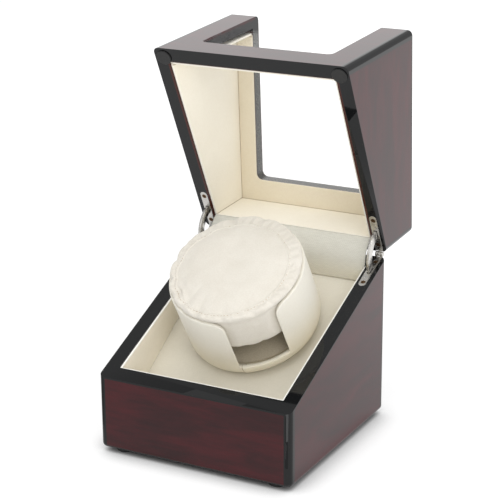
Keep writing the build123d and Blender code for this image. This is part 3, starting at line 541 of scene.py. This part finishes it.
# Painted shade: the lid top's lining uses a darker, yellower copy of the same cream leather.
lid_top_leather_painted_shade = leather(
    "cream_lining_lid_top", (0.80, 0.73, 0.585), (0.755, 0.675, 0.525), lid_edge_cream, shut_lid
)
lining_edge = 0.45


def wrapped_board(node, body, material, edge=lining_edge, suffix="_wrapped"):
    """The board with its edges rounded over by the wrap."""
    piece = shell_piece(merged_copy(node), node + suffix, material)
    rounding = piece.modifiers.new("wrap", "BEVEL")
    rounding.width = edge * MM
    rounding.segments = 4
    rounding.limit_method = "ANGLE"
    rounding.angle_limit = math.radians(40)
    rounding.harden_normals = True
    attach(piece, body)
    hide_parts(node)


for body, material in (("base", base_leather), ("lid", lid_leather_painted_light)):
    for side in ("front", "left", "right", "back"):
        wrapped_board(f"{body}_{side}_lining", body, material)
wrapped_board("lid_top_lining", "lid", lid_top_leather_painted_shade)

# Rotor panel: a leaning fibreboard, wrapped in the same leather and pushed in between the
# linings, with a round hole that the drum's hub passes through.
panel_edge = 0.5
# The panel's leather is darker than the linings': partly a greyer board, partly painted shade of the
# deep well it sits in.
panel_leather = leather("panel_leather", (0.74, 0.705, 0.61), (0.69, 0.655, 0.56))
wrapped_board("rotor_panel", "base", panel_leather, panel_edge)

# Hinge tape: a plain-woven ribbon, glued up the base's back lining and over to the lid's rim,
# so that the gap between them stays covered.
tape_low, tape_high = (np.array(corner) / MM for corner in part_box("hinge_strip"))
tape_thickness = 0.5
tape_half_width = tape_high[0]
tape_narrow_half = lining_half_width - 0.3
tape_upright = 99.73
tape_shoulder = 97.9
tape_end_turn = math.radians(57.0)
tape_foot = 0.5
tape_shoulder_ease = 0.3
tape_side_room = 0.05
tape_columns = 105
tape_rows = 64


def tape_section(count):
    """The tape's middle line in y and z: straight up the lining, then one arc back to the
    lid, which leaves the upright smoothly and ends beside the lid's lining."""
    y_start = tape_low[1] + tape_thickness / 2
    reach_y = tape_high[1] - tape_thickness / 2 * math.cos(tape_end_turn) - y_start
    reach_z = tape_high[2] - tape_thickness / 2 * math.sin(tape_end_turn) - tape_upright
    radius = (reach_y ** 2 + reach_z ** 2) / (2 * reach_y)
    sweep = math.asin(reach_z / radius)
    low = tape_low[2] + tape_foot
    straight = tape_upright - low
    length = straight + radius * sweep
    along = np.linspace(0, length, count)
    angle = np.clip(along - straight, 0, None) / radius
    y = y_start + radius * (1 - np.cos(angle))
    z = np.where(along < straight, low + along, tape_upright + radius * np.sin(angle))
    return y, z, length


def grid_faces(rows, columns, wrap_columns=False):
    """Quads over a grid of points, row by row, with the rows closed into rings if asked."""
    row = np.arange(rows - 1)
    column = np.arange(columns if wrap_columns else columns - 1)
    r, c = (index.ravel() for index in np.meshgrid(row, column, indexing="ij"))
    here, above = r * columns, (r + 1) * columns
    beside = (c + 1) % columns
    return np.stack([here + c, here + beside, above + beside, above + c], 1).tolist()


thread_pitch = 0.75


def weave(place):
    """Over-and-under threads, along x and up the tape: the product of two waves."""
    x, z = place.part("X") / MM, place.part("Z") / MM
    turn = math.pi / thread_pitch
    return (x * turn).maths("SINE") * (z * turn).maths("SINE")


def weave_relief(place):
    """The threads' rise and fall, with some slubs."""
    return (weave(place) + place.cloud(1500.0)).relief(0.00007)


def tape_colour(place):
    """Grey-beige cloth, painted darker and warmer lower down as painted shade, with its threads'
    painted light and dark sides.
    """
    height = (place.part("Z") / MM).step(88.0, 103.0)
    slubs = place.stretched(300, 300, 1700).cloud(1.0).step(0.35, 0.65)
    # Slubs, and the painted light and dark sides of the woven threads.
    thread = slubs * 0.5 + weave(place) * 0.25 + 0.25
    # Painted shade: the cloth is darker and warmer lower down.
    cloth = height.tint((0.68, 0.645, 0.53), (0.69, 0.68, 0.615))
    return (thread * 0.3).over(cloth, (0.40, 0.385, 0.33, 1.0))


tape_cloth = finish(
    "hinge_tape_cloth", Base_Color=tape_colour, Normal=weave_relief, Roughness=0.85, Sheen_Weight=0.1
)
tape_y, tape_z, tape_length = tape_section(tape_rows)
tape_half = np.interp(
    tape_z, [tape_shoulder - tape_shoulder_ease, tape_shoulder + tape_shoulder_ease],
    [tape_narrow_half, tape_half_width - tape_side_room],
)
tape_across = np.linspace(-1, 1, tape_columns)
tape_points = np.stack([
    tape_half[:, None] * tape_across[None, :],
    np.broadcast_to(tape_y[:, None], (tape_rows, tape_columns)),
    np.broadcast_to(tape_z[:, None], (tape_rows, tape_columns)),
], axis=2)
tape = surface_piece("hinge_tape", tape_points, grid_faces(tape_rows, tape_columns), tape_cloth, 180)
tape_body = tape.modifiers.new("thickness", "SOLIDIFY")
tape_body.thickness = tape_thickness * 0.9 * MM
tape_body.offset = 0.0
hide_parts("hinge_strip")
tape_y[0] * MM
tape_y[-1] * MM
(tape_z[-1] - 0.8) * MM
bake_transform(tape)
tape_length * MM

# Drum: a moulded cup wrapped in ivory artificial leather, with a notch at each side. The wrap
# rounds every edge and laps over itself in a short seam under the front notch.
spin_joint = next(joint for joint in frame["joints"] if joint["name"] == "rotor_spin")
drum_axis = np.array(spin_joint["axis"])
drum_foot = np.array(spin_joint["pos_m"]) / MM
drum_up = np.array([0.0, drum_axis[2], -drum_axis[1]])
drum_radius = 42.0
drum_bore = 38.7
drum_rim = 50.0
drum_bottom = 1.5
drum_recess = 3.5
drum_recess_radius = 15.1
drum_floor = 5.5
drum_foot_radius = 8.0
drum_inner_radius = 4.0
drum_edge = 1.1
notch_half = 15.5
notch_sill = 11.0
notch_sill_corner = 0.9
notch_top_corner = 7.0
notch_turn = 35.0
notch_column_end = math.radians(37.0)
notch_flat = math.radians(74)
notch_fade = math.radians(36)
sill_points = 14
side_points = 25
rim_points = 29
seam_angle = -20.0
seam_lap = 0.6
seam_fade = 7.0
seam_end = 0.4
# The painted shadow line beside the seam's step: its band, its shift, its fade at the top and its
# colour.
lap_line = (0.25, 0.6)
lap_line_shift = 0.35
lap_top_softness = 0.4
lap_shadow_brown = (0.22, 0.15, 0.08)
# Heights over which the drum's painted warm bounce light fades out.
painted_bounce_heights = (2.0, 34.0)


def in_drum(radius, angle, height):
    """Points from a radius, an angle from the slope's foot towards +x, and a height up the axis."""
    across = np.asarray(radius) * np.sin(angle)
    down = -np.asarray(radius) * np.cos(angle)
    return (
        drum_foot
        + across[..., None] * np.array([1.0, 0, 0])
        + down[..., None] * drum_up
        + np.asarray(height)[..., None] * drum_axis
    )


def rim_path():
    """Half of the wall's upper edge, from the middle of a notch to the middle of the rim: its
    angle, its height, the way out of the wall there, and the angle where its column starts. It
    runs along the notch's sill, round a small corner, up the side and round a larger corner."""
    low_turn = np.radians(np.linspace(0, 90, 7))
    top_turn = np.radians(np.linspace(0, 90, 15)[1:])
    sill = np.linspace(0, notch_half - notch_sill_corner, sill_points)
    side = np.linspace(notch_sill + notch_sill_corner, drum_rim - notch_top_corner, side_points + 1)[1:]
    across = np.concatenate([
        sill, notch_half - notch_sill_corner * (1 - np.sin(low_turn)),
        np.full(side_points, notch_half), notch_half + notch_top_corner * (1 - np.cos(top_turn)),
    ])
    height = np.concatenate([
        np.full(sill_points, notch_sill), notch_sill + notch_sill_corner * (1 - np.cos(low_turn)),
        side, drum_rim - notch_top_corner + notch_top_corner * np.sin(top_turn),
    ])
    out_across = np.concatenate([
        np.zeros(sill_points), -np.sin(low_turn), -np.ones(side_points), -np.cos(top_turn),
        np.zeros(rim_points),
    ])
    out_up = np.concatenate([
        np.ones(sill_points), np.cos(low_turn), np.zeros(side_points), np.sin(top_turn),
        np.ones(rim_points),
    ])
    angle = np.arcsin(across / drum_radius)
    first = np.arcsin((notch_half - notch_sill_corner) / drum_radius)
    last = notch_column_end
    run = np.concatenate([[0.0], np.cumsum(np.hypot(np.diff(across), np.diff(height)))])
    share = np.clip((run - sill[-1]) / (run[-1] - sill[-1]), 0, 1)
    start = np.where(share > 0, first + share * (last - first), angle)
    rim = np.linspace(angle[-1], math.pi / 2, rim_points + 1)[1:]
    rim_start = last + (rim - angle[-1]) * (math.pi / 2 - last) / (math.pi / 2 - angle[-1])
    angle = np.concatenate([angle, rim])
    height = np.concatenate([height, np.full(rim_points, drum_rim)])
    start = np.concatenate([start, rim_start])
    return angle, height, out_across, out_up, start


def full_circle(angle, height, out_across, out_up, start):
    """The half path mirrored into a whole turn: notch, rim, notch, rim."""
    def both(values, sign):
        back = sign * values[::-1]
        return np.concatenate([values[:-1], back[:-1]])

    quarter = np.concatenate([angle[:-1], math.pi - angle[::-1][:-1]])
    quarter_start = np.concatenate([start[:-1], math.pi - start[::-1][:-1]])
    half = [quarter, both(height, 1), both(out_across, -1), both(out_up, 1), quarter_start]
    other = [quarter + math.pi, half[1], half[2], half[3], quarter_start + math.pi]
    return [np.concatenate(pair) for pair in zip(half, other)]


def true_angle(angle, radius):
    """The angle at a smaller radius that keeps a notch's sides flat and parallel."""
    folded = (angle + math.pi / 2) % math.pi - math.pi / 2
    reach = np.clip(drum_radius * np.sin(folded) / np.maximum(radius, drum_bore), -1, 1)
    share = np.clip((notch_flat - np.abs(folded)) / notch_fade, 0, 1)
    weight = share * share * (3 - 2 * share)
    return angle + (np.arcsin(reach) - folded) * weight


def arc(centre_radius, centre_height, radius, start, end, count):
    """Points of an arc in the plane of radius and height, angles from straight out."""
    turn = np.radians(np.linspace(start, end, count))
    return centre_radius + radius * np.cos(turn), centre_height + radius * np.sin(turn)


def seam_step(angle):
    """How far the cover stands out at an angle: 1 where its upper end laps over at the seam,
    easing to 0 a little way on, and 0 right up to the seam from the other side."""
    past = (np.degrees(angle) - seam_angle) % 360
    return np.exp(-past / seam_fade) * np.clip(past / seam_end, 0, 1)


def drum_points():
    """The cup's surface as rows from underneath, out and up the wall, over its edge and down
    inside to the floor; columns follow the wall's upper edge."""
    angle, height, out_across, out_up, start = full_circle(*rim_path())
    turn = math.radians(notch_turn)
    rows = []

    def ring(radius, level):
        at = true_angle(start, radius) + turn
        rows.append(in_drum(np.full_like(start, radius), at, np.full_like(start, level)))

    ring(7.5, drum_recess)
    ring(drum_recess_radius, drum_recess)
    ring(drum_recess_radius, drum_bottom)
    ring(24.0, drum_bottom)
    foot_top = drum_bottom + drum_foot_radius
    proud = seam_lap * seam_step(start)
    foot_centre = drum_radius - drum_foot_radius
    for radius, level in zip(*arc(foot_centre, foot_top, drum_foot_radius, -90, 0, 12)):
        out = radius + (proud - seam_lap) * (radius - foot_centre) / drum_foot_radius
        rows.append(in_drum(out, start + turn, np.full_like(start, level)))
    edge_angle = angle - out_across * drum_edge / drum_radius
    edge_height = height - out_up * drum_edge
    for share in np.linspace(0, 1, 16)[1:]:
        rows.append(in_drum(
            drum_radius + proud - seam_lap, start + (edge_angle - start) * share + turn,
            foot_top + (edge_height - foot_top) * share,
        ))
    for step in np.radians(np.linspace(0, 90, 6)[1:]):
        out = drum_edge * (np.sin(step) - 1)
        radius = drum_radius + (proud - seam_lap) * np.cos(step) - drum_edge * (1 - np.cos(step))
        at = true_angle(angle + out_across * out / drum_radius, radius)
        rows.append(in_drum(radius, at + turn, height + out_up * out))
    for step in np.radians(np.linspace(0, 90, 6)):
        out = drum_edge * (np.cos(step) - 1)
        radius = drum_bore + drum_edge * (1 - np.sin(step))
        at = true_angle(angle + out_across * out / drum_radius, radius)
        rows.append(in_drum(np.full_like(start, radius), at + turn, height + out_up * out))
    inner_top = drum_floor + drum_inner_radius
    for share in np.linspace(1, 0, 16)[1:]:
        along = start + (edge_angle - start) * share
        rows.append(in_drum(
            np.full_like(start, drum_bore), true_angle(along, drum_bore) + turn,
            inner_top + (edge_height - inner_top) * share,
        ))
    inner_centre = drum_bore - drum_inner_radius
    for radius, level in zip(*arc(inner_centre, inner_top, drum_inner_radius, 0, -90, 7)):
        ring(radius, level)
    for radius in (20.0, 8.0):
        ring(radius, drum_floor)
    return np.array(rows)


def close_poles(points, faces):
    """Grid points and faces with each open end shut by a fan round one middle point."""
    rows, columns = points.shape[:2]
    flat = np.concatenate([points.reshape(-1, 3), [points[0].mean(axis=0)], [points[-1].mean(axis=0)]])
    here = np.arange(columns)
    after = (here + 1) % columns
    first, last = rows * columns, rows * columns + 1
    low = np.stack([after, here, np.full(columns, first)], 1)
    high = np.stack([here + first - columns, after + first - columns, np.full(columns, last)], 1)
    return flat, faces + low.tolist() + high.tolist()


def drum_colour(place):
    """The leather of the cover, with painted warm bounce light lower down where it stands in shade,
    and a thin line of painted shadow beside the step of the seam below the front notch."""
    out = place.node("VectorMath", {"operation": "SUBTRACT"}, {0: place, 1: tuple(drum_foot * MM)})

    def reach(way):
        """How far the place lies that way from the drum's foot, in millimetres."""
        dot = {"operation": "DOT_PRODUCT"}
        return out.node("VectorMath", dot, {0: out, 1: tuple(way)}, output=1) / MM

    height = reach(drum_axis)
    angle = (out.part("X") / MM).maths("ARCTAN2", reach(-drum_up)) * (180 / math.pi)
    from_lap = abs(angle - (seam_angle + notch_turn) + lap_line_shift)
    below_sill = 1 - height.step(notch_sill - lap_top_softness, notch_sill + lap_top_softness)
    # Painted shadow: a thin dark line beside the seam's step.
    lap = (1 - from_lap.step(*lap_line)) * below_sill
    drift = leather_drift(place)
    upper = drift.tint((0.765, 0.73, 0.64), (0.80, 0.772, 0.69))
    # Painted warm bounce light on the lower part of the drum.
    lower = drift.tint((0.79, 0.735, 0.59), (0.83, 0.78, 0.65))
    return (lap * 0.55).over(height.step(*painted_bounce_heights).over(lower, upper), (*lap_shadow_brown, 1.0))


drum_leather = finish("drum_leather", Base_Color=drum_colour, **leather_feel)
drum_grid = drum_points()
drum_mesh = close_poles(drum_grid, grid_faces(*drum_grid.shape[:2], wrap_columns=True))
drum = surface_piece("drum_cover", *drum_mesh, drum_leather, 40)
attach(drum, "rotor")
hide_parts("drum_cup")

# Cushion: foam in a sewn cover of cream suede cloth, pushed down into the drum. The cover is
# gathered over the drum's edge and stitched down in a ring where the domed top begins. It is
# cut a little too large, and the foam blows it out between the stitches and the drum.
cushion_bottom = 22.4
cushion_side = 37.7
cushion_roll = 39.7
cushion_seam = 35.4
cushion_seam_height = 55.3
cushion_crown = 58.3
cushion_rows = 92
cushion_columns = 168
cushion_held_below = 25.0
cushion_edge_above = 50.0
ring_shift = 2.6
ring_shift_angle = math.radians(-5.0)
ring_drop = 1.3
fold_crest = 36.5
fold_reach_in = 9.0
fold_reach_out = 6.0
fold_above = 44
fold_out = 0.6
fold_up = 0.7
pucker_count = 46
pucker_rise = 0.17
pucker_width = 1.7
cover_spare = 0.08
cover_cap = 2.0
cloth_scale = 6.0
cloth_frames = 20
foam_pressure = 3.0
drum_clearance = 0.4
notch_bulge = 1.6
notch_bulge_ease = 4.0
roll_heights = (49.0, 51.5)
roll_reach = 40.6


def cushion_profile():
    """Radius and height from the middle underneath, up the side, out over the edge, in to the
    sewn ring and up over the dome, at even steps along a smoothed outline."""
    outline = np.array([
        (0.0, cushion_bottom), (20.0, cushion_bottom), (30.5, cushion_bottom + 0.3),
        (35.2, cushion_bottom + 2.2), (37.3, cushion_bottom + 6.0), (cushion_side, cushion_bottom + 14),
        (cushion_side - 0.1, 47.5), (cushion_side + 0.1, 49.8), (39.1, 51.2), (cushion_roll, 52.8),
        (39.1, 54.3), (37.9, 55.4), (36.4, 55.75), (cushion_seam, cushion_seam_height),
        (34.2, 55.8), (31.0, 56.6), (22.0, 57.6), (12.0, 58.1), (0.0, cushion_crown),
    ])
    run = np.concatenate([[0], np.cumsum(np.hypot(*np.diff(outline, axis=0).T))])
    fine = np.linspace(0, run[-1], cushion_rows)
    radius, height = np.interp(fine, run, outline[:, 0]), np.interp(fine, run, outline[:, 1])
    return radius[1:-1], height[1:-1]


# Each fold: its angle and its width in degrees, and its rise in millimetres.
fold_list = [
    (-66, 3.6, -0.9), (-55, 3.2, 0.5), (-47, 3.4, -1.0), (-38, 3.0, 0.6), (-30, 3.2, -1.1),
    (-21, 3.0, 0.5), (-12, 3.6, -0.8), (14, 5.0, -0.7), (40, 4.5, -0.6), (57, 4.0, -0.7),
    (80, 5.0, -0.8), (104, 4.0, -0.6), (140, 6.0, -0.6), (176, 5.0, -0.6), (-90, 5.0, -0.8),
    (-128, 5.0, -0.6), (-155, 6.0, -0.6),
]


def folds(angle, radius, height):
    """Outward push of the cover's soft folds, in millimetres: a few long folds over the edge
    where the cloth is gathered, each a bell curve of the angle, and small puckers at the ring."""
    middle, width, rise = np.array(fold_list).T[:, :, None, None]
    off = (np.degrees(angle) - middle + 180) % 360 - 180
    push = (rise * np.exp(-((off / width) ** 2))).sum(axis=0)
    reach = np.where(radius < fold_crest, fold_reach_in, fold_reach_out)
    over_edge = np.exp(-(((radius - fold_crest) / reach) ** 2)) * (height > fold_above)
    beat = np.sin(angle * pucker_count + 1.3 * np.sin(angle * 5))
    near_ring = np.exp(-(((radius - cushion_seam - 0.8) / pucker_width) ** 2))
    return push * over_edge + pucker_rise * beat * near_ring * (height > cushion_edge_above)


def blown_out(points, faces, held):
    """The cover's points after its cloth, cut with some to spare, is filled by the foam: a cloth
    simulation with air pressure and no gravity on a larger copy, in which held points stay."""
    mesh = bpy.data.meshes.new("cover_cloth")
    mesh.from_pydata((points * MM * cloth_scale).tolist(), [], faces)
    piece = bpy.data.objects.new("cover_cloth", mesh)
    bpy.context.scene.collection.objects.link(piece)
    group = piece.vertex_groups.new(name="held")
    group.add(np.flatnonzero(held).tolist(), 1.0, "REPLACE")
    cloth = piece.modifiers.new("cloth", "CLOTH")
    cloth.settings.vertex_group_mass = "held"
    cloth.settings.quality = 5
    cloth.settings.mass = 0.2
    cloth.settings.use_pressure = True
    cloth.settings.uniform_pressure_force = foam_pressure
    cloth.settings.shrink_min = -cover_spare
    cloth.settings.bending_stiffness = 0.6
    cloth.settings.effector_weights.gravity = 0.0
    for frame_number in range(1, cloth_frames + 1):
        bpy.context.scene.frame_set(frame_number)
    full = piece.evaluated_get(bpy.context.evaluated_depsgraph_get()).data
    placed = np.empty(len(points) * 3, np.float32)
    full.vertices.foreach_get("co", placed)
    bpy.data.objects.remove(piece)
    bpy.context.scene.frame_set(1)
    return placed.reshape(-1, 3) / (MM * cloth_scale)


def round_drum(points):
    """Radius, angle and height about the drum's axis."""
    out = points - drum_foot
    across, down = out[:, 0], -out @ drum_up
    return np.hypot(across, down), np.arctan2(across, down), out @ drum_axis


def inside_drum(points):
    """The points with their radius kept within the drum's bore, apart from a bulge in each notch
    and the roll over the edge."""
    radius, angle, height = round_drum(points)
    from_notch = np.abs(drum_radius * np.sin(angle - math.radians(notch_turn)))
    bulge = notch_bulge * np.clip((notch_half - from_notch) / notch_bulge_ease - 0.4, 0, 1)
    bore = drum_bore - drum_clearance + bulge
    limit = np.interp(height, roll_heights, [0, 1]) * (roll_reach - bore) + bore
    return in_drum(np.minimum(radius, limit), angle, height)


profile_radius, profile_height = cushion_profile()
around = np.linspace(0, 2 * math.pi, cushion_columns, endpoint=False)
push = folds(around[None, :], profile_radius[:, None], profile_height[:, None])
cushion_grid = in_drum(
    np.clip(profile_radius[:, None] + push * fold_out, 0.01, None), np.broadcast_to(around, push.shape),
    profile_height[:, None] + push * fold_up,
)
across_slope = np.array([1.0, 0, 0])
ring_way = math.sin(ring_shift_angle) * across_slope - math.cos(ring_shift_angle) * drum_up
off_centre = ring_shift * ring_way
on_top = np.clip((cushion_roll - profile_radius) / (cushion_roll - cushion_seam), 0, 1)
on_top = on_top * (profile_height > cushion_edge_above)
sag = (on_top * np.clip(profile_radius / cushion_seam, 0, 1) ** 2)[:, None]
low_side = (0.5 + 0.5 * np.cos(around - ring_shift_angle)) * sag
drop = ring_drop * low_side[..., None] * drum_axis
cushion_grid = cushion_grid + on_top[:, None, None] * off_centre - drop
from_ring = np.abs(profile_radius - cushion_seam) + (profile_height < cushion_edge_above) * 100
ring_row = np.argmin(from_ring)
cushion_faces = grid_faces(len(profile_radius), cushion_columns, wrap_columns=True)
cushion_points, cushion_faces = close_poles(cushion_grid, cushion_faces)
held = round_drum(cushion_points)[2] < cushion_held_below
held[ring_row * cushion_columns:(ring_row + 1) * cushion_columns] = True
moved = blown_out(cushion_points, cushion_faces, held) - cushion_points
far = np.linalg.norm(moved, axis=1, keepdims=True)
capped = moved * cover_cap * np.tanh(far / cover_cap) / np.maximum(far, 1e-6)
cushion_points = cushion_points + capped
cushion_points = inside_drum(cushion_points)


def suede_colour(place):
    """Cream cloth with slow patches where the nap lies the other way."""
    patches = place.cloud(55.0, 4.0, 0.6, 0.4).step(0.3, 0.7)
    thread = place.cloud(1300.0).step(0.35, 0.65)
    return (patches * 0.6 + thread * 0.4).tint((0.665, 0.625, 0.55), (0.735, 0.70, 0.63))


def suede_relief(place):
    """Short brushed nap and the slight unevenness of the foam below."""
    return (place.cloud(2600.0, 3.0) * 0.3 + place.cloud(130.0, 3.0) * 2.0).relief(0.0001, 0.8)


suede = finish(
    "cushion_suede", Base_Color=suede_colour, Normal=suede_relief, Roughness=0.9,
    Specular_IOR_Level=0.2, Sheen_Weight=0.25, Sheen_Roughness=0.5,
)
cushion = surface_piece("watch_cushion_cover", cushion_points, cushion_faces, suede, 180)
smoothing = cushion.modifiers.new("soft_cloth", "SUBSURF")
smoothing.levels = smoothing.render_levels = 1
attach(cushion, "cushion")
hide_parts("watch_cushion")

# Stitching: short rounded threads of cream cotton, end to end along the ring where the cover is
# sewn down. Their tan colour is painted shade, from the holes they lie in.
stitch_count = 108
stitch_long = 0.62
stitch_thick = 0.17
stitch_proud = 0.12
stitch_rings = np.radians([-55, 0, 55])
ring_points = 6
points_each = ring_points * len(stitch_rings)


def stitch_points():
    """Each stitch is an ellipsoid, long along the sewn ring, with its middle on the cover: rings
    of points across it, at a few angles from its middle towards its ends."""
    ring = cushion_points[:-2].reshape(len(profile_radius), cushion_columns, 3)[ring_row]
    looped = np.concatenate([ring, ring[:1]])
    share = np.linspace(0, cushion_columns, stitch_count, endpoint=False)
    column = np.arange(cushion_columns + 1)
    centre = np.stack([np.interp(share, column, looped[:, axis]) for axis in range(3)], 1)
    forward = np.roll(centre, -1, axis=0) - np.roll(centre, 1, axis=0)
    forward /= np.linalg.norm(forward, axis=1, keepdims=True)
    up = np.broadcast_to(drum_axis, forward.shape)
    side = np.cross(up, forward)
    round_thread = np.linspace(0, 2 * np.pi, ring_points, endpoint=False)
    turn, rise = np.meshgrid(round_thread, stitch_rings, indexing="xy")
    along = np.sin(rise) * stitch_long
    out_side = np.cos(rise) * np.cos(turn) * stitch_thick
    out_up = np.cos(rise) * np.sin(turn) * stitch_thick
    return (
        (centre + up * stitch_proud)[:, None, None, :]
        + along[None, ..., None] * forward[:, None, None, :]
        + out_side[None, ..., None] * side[:, None, None, :]
        + out_up[None, ..., None] * up[:, None, None, :]
    )


def each_stitch(faces):
    """The faces of one stitch, repeated for all."""
    first = np.arange(stitch_count)[:, None, None] * points_each
    return (np.array(faces)[None] + first).reshape(-1, len(faces[0])).tolist()


def clouded(scale, low, high):
    """A colour that drifts between two near shades."""
    return lambda place: place.cloud(scale).tint(low, high)


stitch_sides = each_stitch(grid_faces(len(stitch_rings), ring_points, wrap_columns=True))
end_ring = np.arange(ring_points)
stitch_ends = each_stitch([end_ring[::-1], end_ring + points_each - ring_points])
# The thread's tan is painted shade over cream cotton that lies in shaded holes.
thread = finish(
    "cushion_thread_painted_shade", Base_Color=clouded(900.0, (0.36, 0.25, 0.15), (0.55, 0.43, 0.30)),
    Roughness=0.7, Normal=lambda place: place.cells(4000.0).relief(0.00003),
)
seam = surface_piece("cushion_stitching", stitch_points(), stitch_sides + stitch_ends, thread, 180)
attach(seam, "cushion")

# Quadrant hinges: nickel-plated leaves let into the rims, each held by two bronzed screws, and
# a thin curved arm that stops the lid. Press and barrel leave their edges slightly rounded.
nickel = finish(
    "bright_nickel", Base_Color=clouded(260.0, (0.50, 0.485, 0.46), (0.60, 0.585, 0.555)),
    Metallic=1.0, Roughness=lambda place: place.cloud(700.0, 3.0).step(0.2, 0.8) * 0.12 + 0.2,
    Normal=lambda place: place.cloud(500.0).relief(0.00002),
)
bronze = finish(
    "bronzed_screw", Base_Color=clouded(1200.0, (0.085, 0.052, 0.03), (0.19, 0.115, 0.06)),
    Metallic=1.0, Roughness=lambda place: place.cloud(900.0) * 0.2 + 0.28,
)
leaf_ease = 0.18
screw_ease = 0.1


def eased_metal(node, body, material, ease):
    """The fitting with every sharp arris rounded over."""
    wrapped_board(node, body, material, ease, "_tumbled")


for side in ("left", "right"):
    eased_metal(f"hinge_leaf_base_{side}", "base", nickel, leaf_ease)
    eased_metal(f"hinge_leaf_lid_{side}", "lid", nickel, leaf_ease)
    eased_metal(f"stay_arm_{side}", f"stay_{side}", nickel, leaf_ease)
eased_metal("hinge_screws_base", "base", bronze, screw_ease)
eased_metal("hinge_screws_lid", "lid", bronze, screw_ease)

# Plain fittings: moulded, pressed and turned pieces that keep their CAD shape and take only
# their real finish.
zinc = finish(
    "zinc_plate", Base_Color=(0.55, 0.56, 0.58), Metallic=1.0,
    Roughness=lambda place: place.cloud(600.0, 3.0) * 0.25 + 0.22,
)
black_rubber = finish(
    "black_rubber", Base_Color=clouded(400.0, (0.008, 0.008, 0.008), (0.016, 0.016, 0.016)),
    Roughness=0.62, Normal=lambda place: place.cells(3200.0).relief(0.00003),
)
black_moulding = finish(
    "black_moulding", Base_Color=clouded(300.0, (0.014, 0.014, 0.015), (0.022, 0.022, 0.023)),
    Roughness=0.48, Normal=lambda place: place.cells(2800.0).relief(0.00004),
)
white_moulding = finish(
    "white_moulding", Base_Color=clouded(90.0, (0.72, 0.71, 0.67), (0.80, 0.79, 0.76)),
    Roughness=0.42, Normal=lambda place: place.cloud(700.0).relief(0.00003),
)


def lacquer_green(place):
    """Green solder lacquer over the board's copper tracks and bare ground."""
    return place.cells(260.0).step(0.2, 0.5).tint((0.01, 0.10, 0.045), (0.02, 0.16, 0.07))


board_green = finish(
    "circuit_green", Base_Color=lacquer_green, Roughness=0.3, Coat_Weight=0.6, Coat_Roughness=0.15
)
lead_red = finish(
    "lead_insulation", Base_Color=clouded(200.0, (0.30, 0.02, 0.02), (0.38, 0.03, 0.03)), Roughness=0.45
)


def flecked(scale, detail, roughness, low, high):
    """A colour of small distinct flecks, for pressed fibres and napped cloth."""
    return lambda place: place.cloud(scale, detail, roughness).step(0.3, 0.7).tint(low, high)


fibreboard = finish(
    "fibreboard", Base_Color=flecked(450.0, 4.0, 0.7, (0.20, 0.13, 0.08), (0.30, 0.21, 0.13)),
    Roughness=0.8, Normal=lambda place: place.cloud(900.0, 3.0).relief(0.0001),
)
# Painted warm shade: the pad's colour is warmed and darkened as by light bounced from the cream leather
# around it.
floor_cloth_painted_bounce = finish(
    "drum_floor_cloth", Base_Color=flecked(1300.0, 2.0, 0.5, (0.56, 0.49, 0.36), (0.64, 0.57, 0.44)),
    Roughness=0.9, Normal=lambda place: place.cells(1500.0).relief(0.0001),
)
clear_acrylic = finish(
    "clear_acrylic", Base_Color=clouded(60.0, (0.93, 0.95, 0.95), (0.97, 0.98, 0.98)),
    Roughness=0.04, IOR=1.3, Alpha=0.05,
)
node_finishes = {
    nickel: ["hinge_pins"],
    zinc: [
        "bottom_screws", "chassis_screws", "motor_screws", "board_screws", "rear_plate_screws",
        "hub_screws", "rotor_shaft", "motor_shaft", "shaft_clip", "gear_motor",
    ],
    black_rubber: ["rubber_feet", "bumper_pads", "drive_belt"],
    black_moulding: ["rear_plate", "mode_knob", "power_inlet", "mode_switch", "drive_chassis"],
    white_moulding: ["drum_hub", "driven_pulley", "motor_pulley", "shaft_bush"],
    board_green: ["control_board"],
    lead_red: ["motor_leads"],
    fibreboard: ["bottom_board", "board_battens", "panel_battens"],
    clear_acrylic: ["window_pane"],
    floor_cloth_painted_bounce: ["drum_floor_pad"],
}
for material, nodes in node_finishes.items():
    for node in nodes:
        data = frame["nodes"][node].data
        data.materials.clear()
        data.materials.append(material)
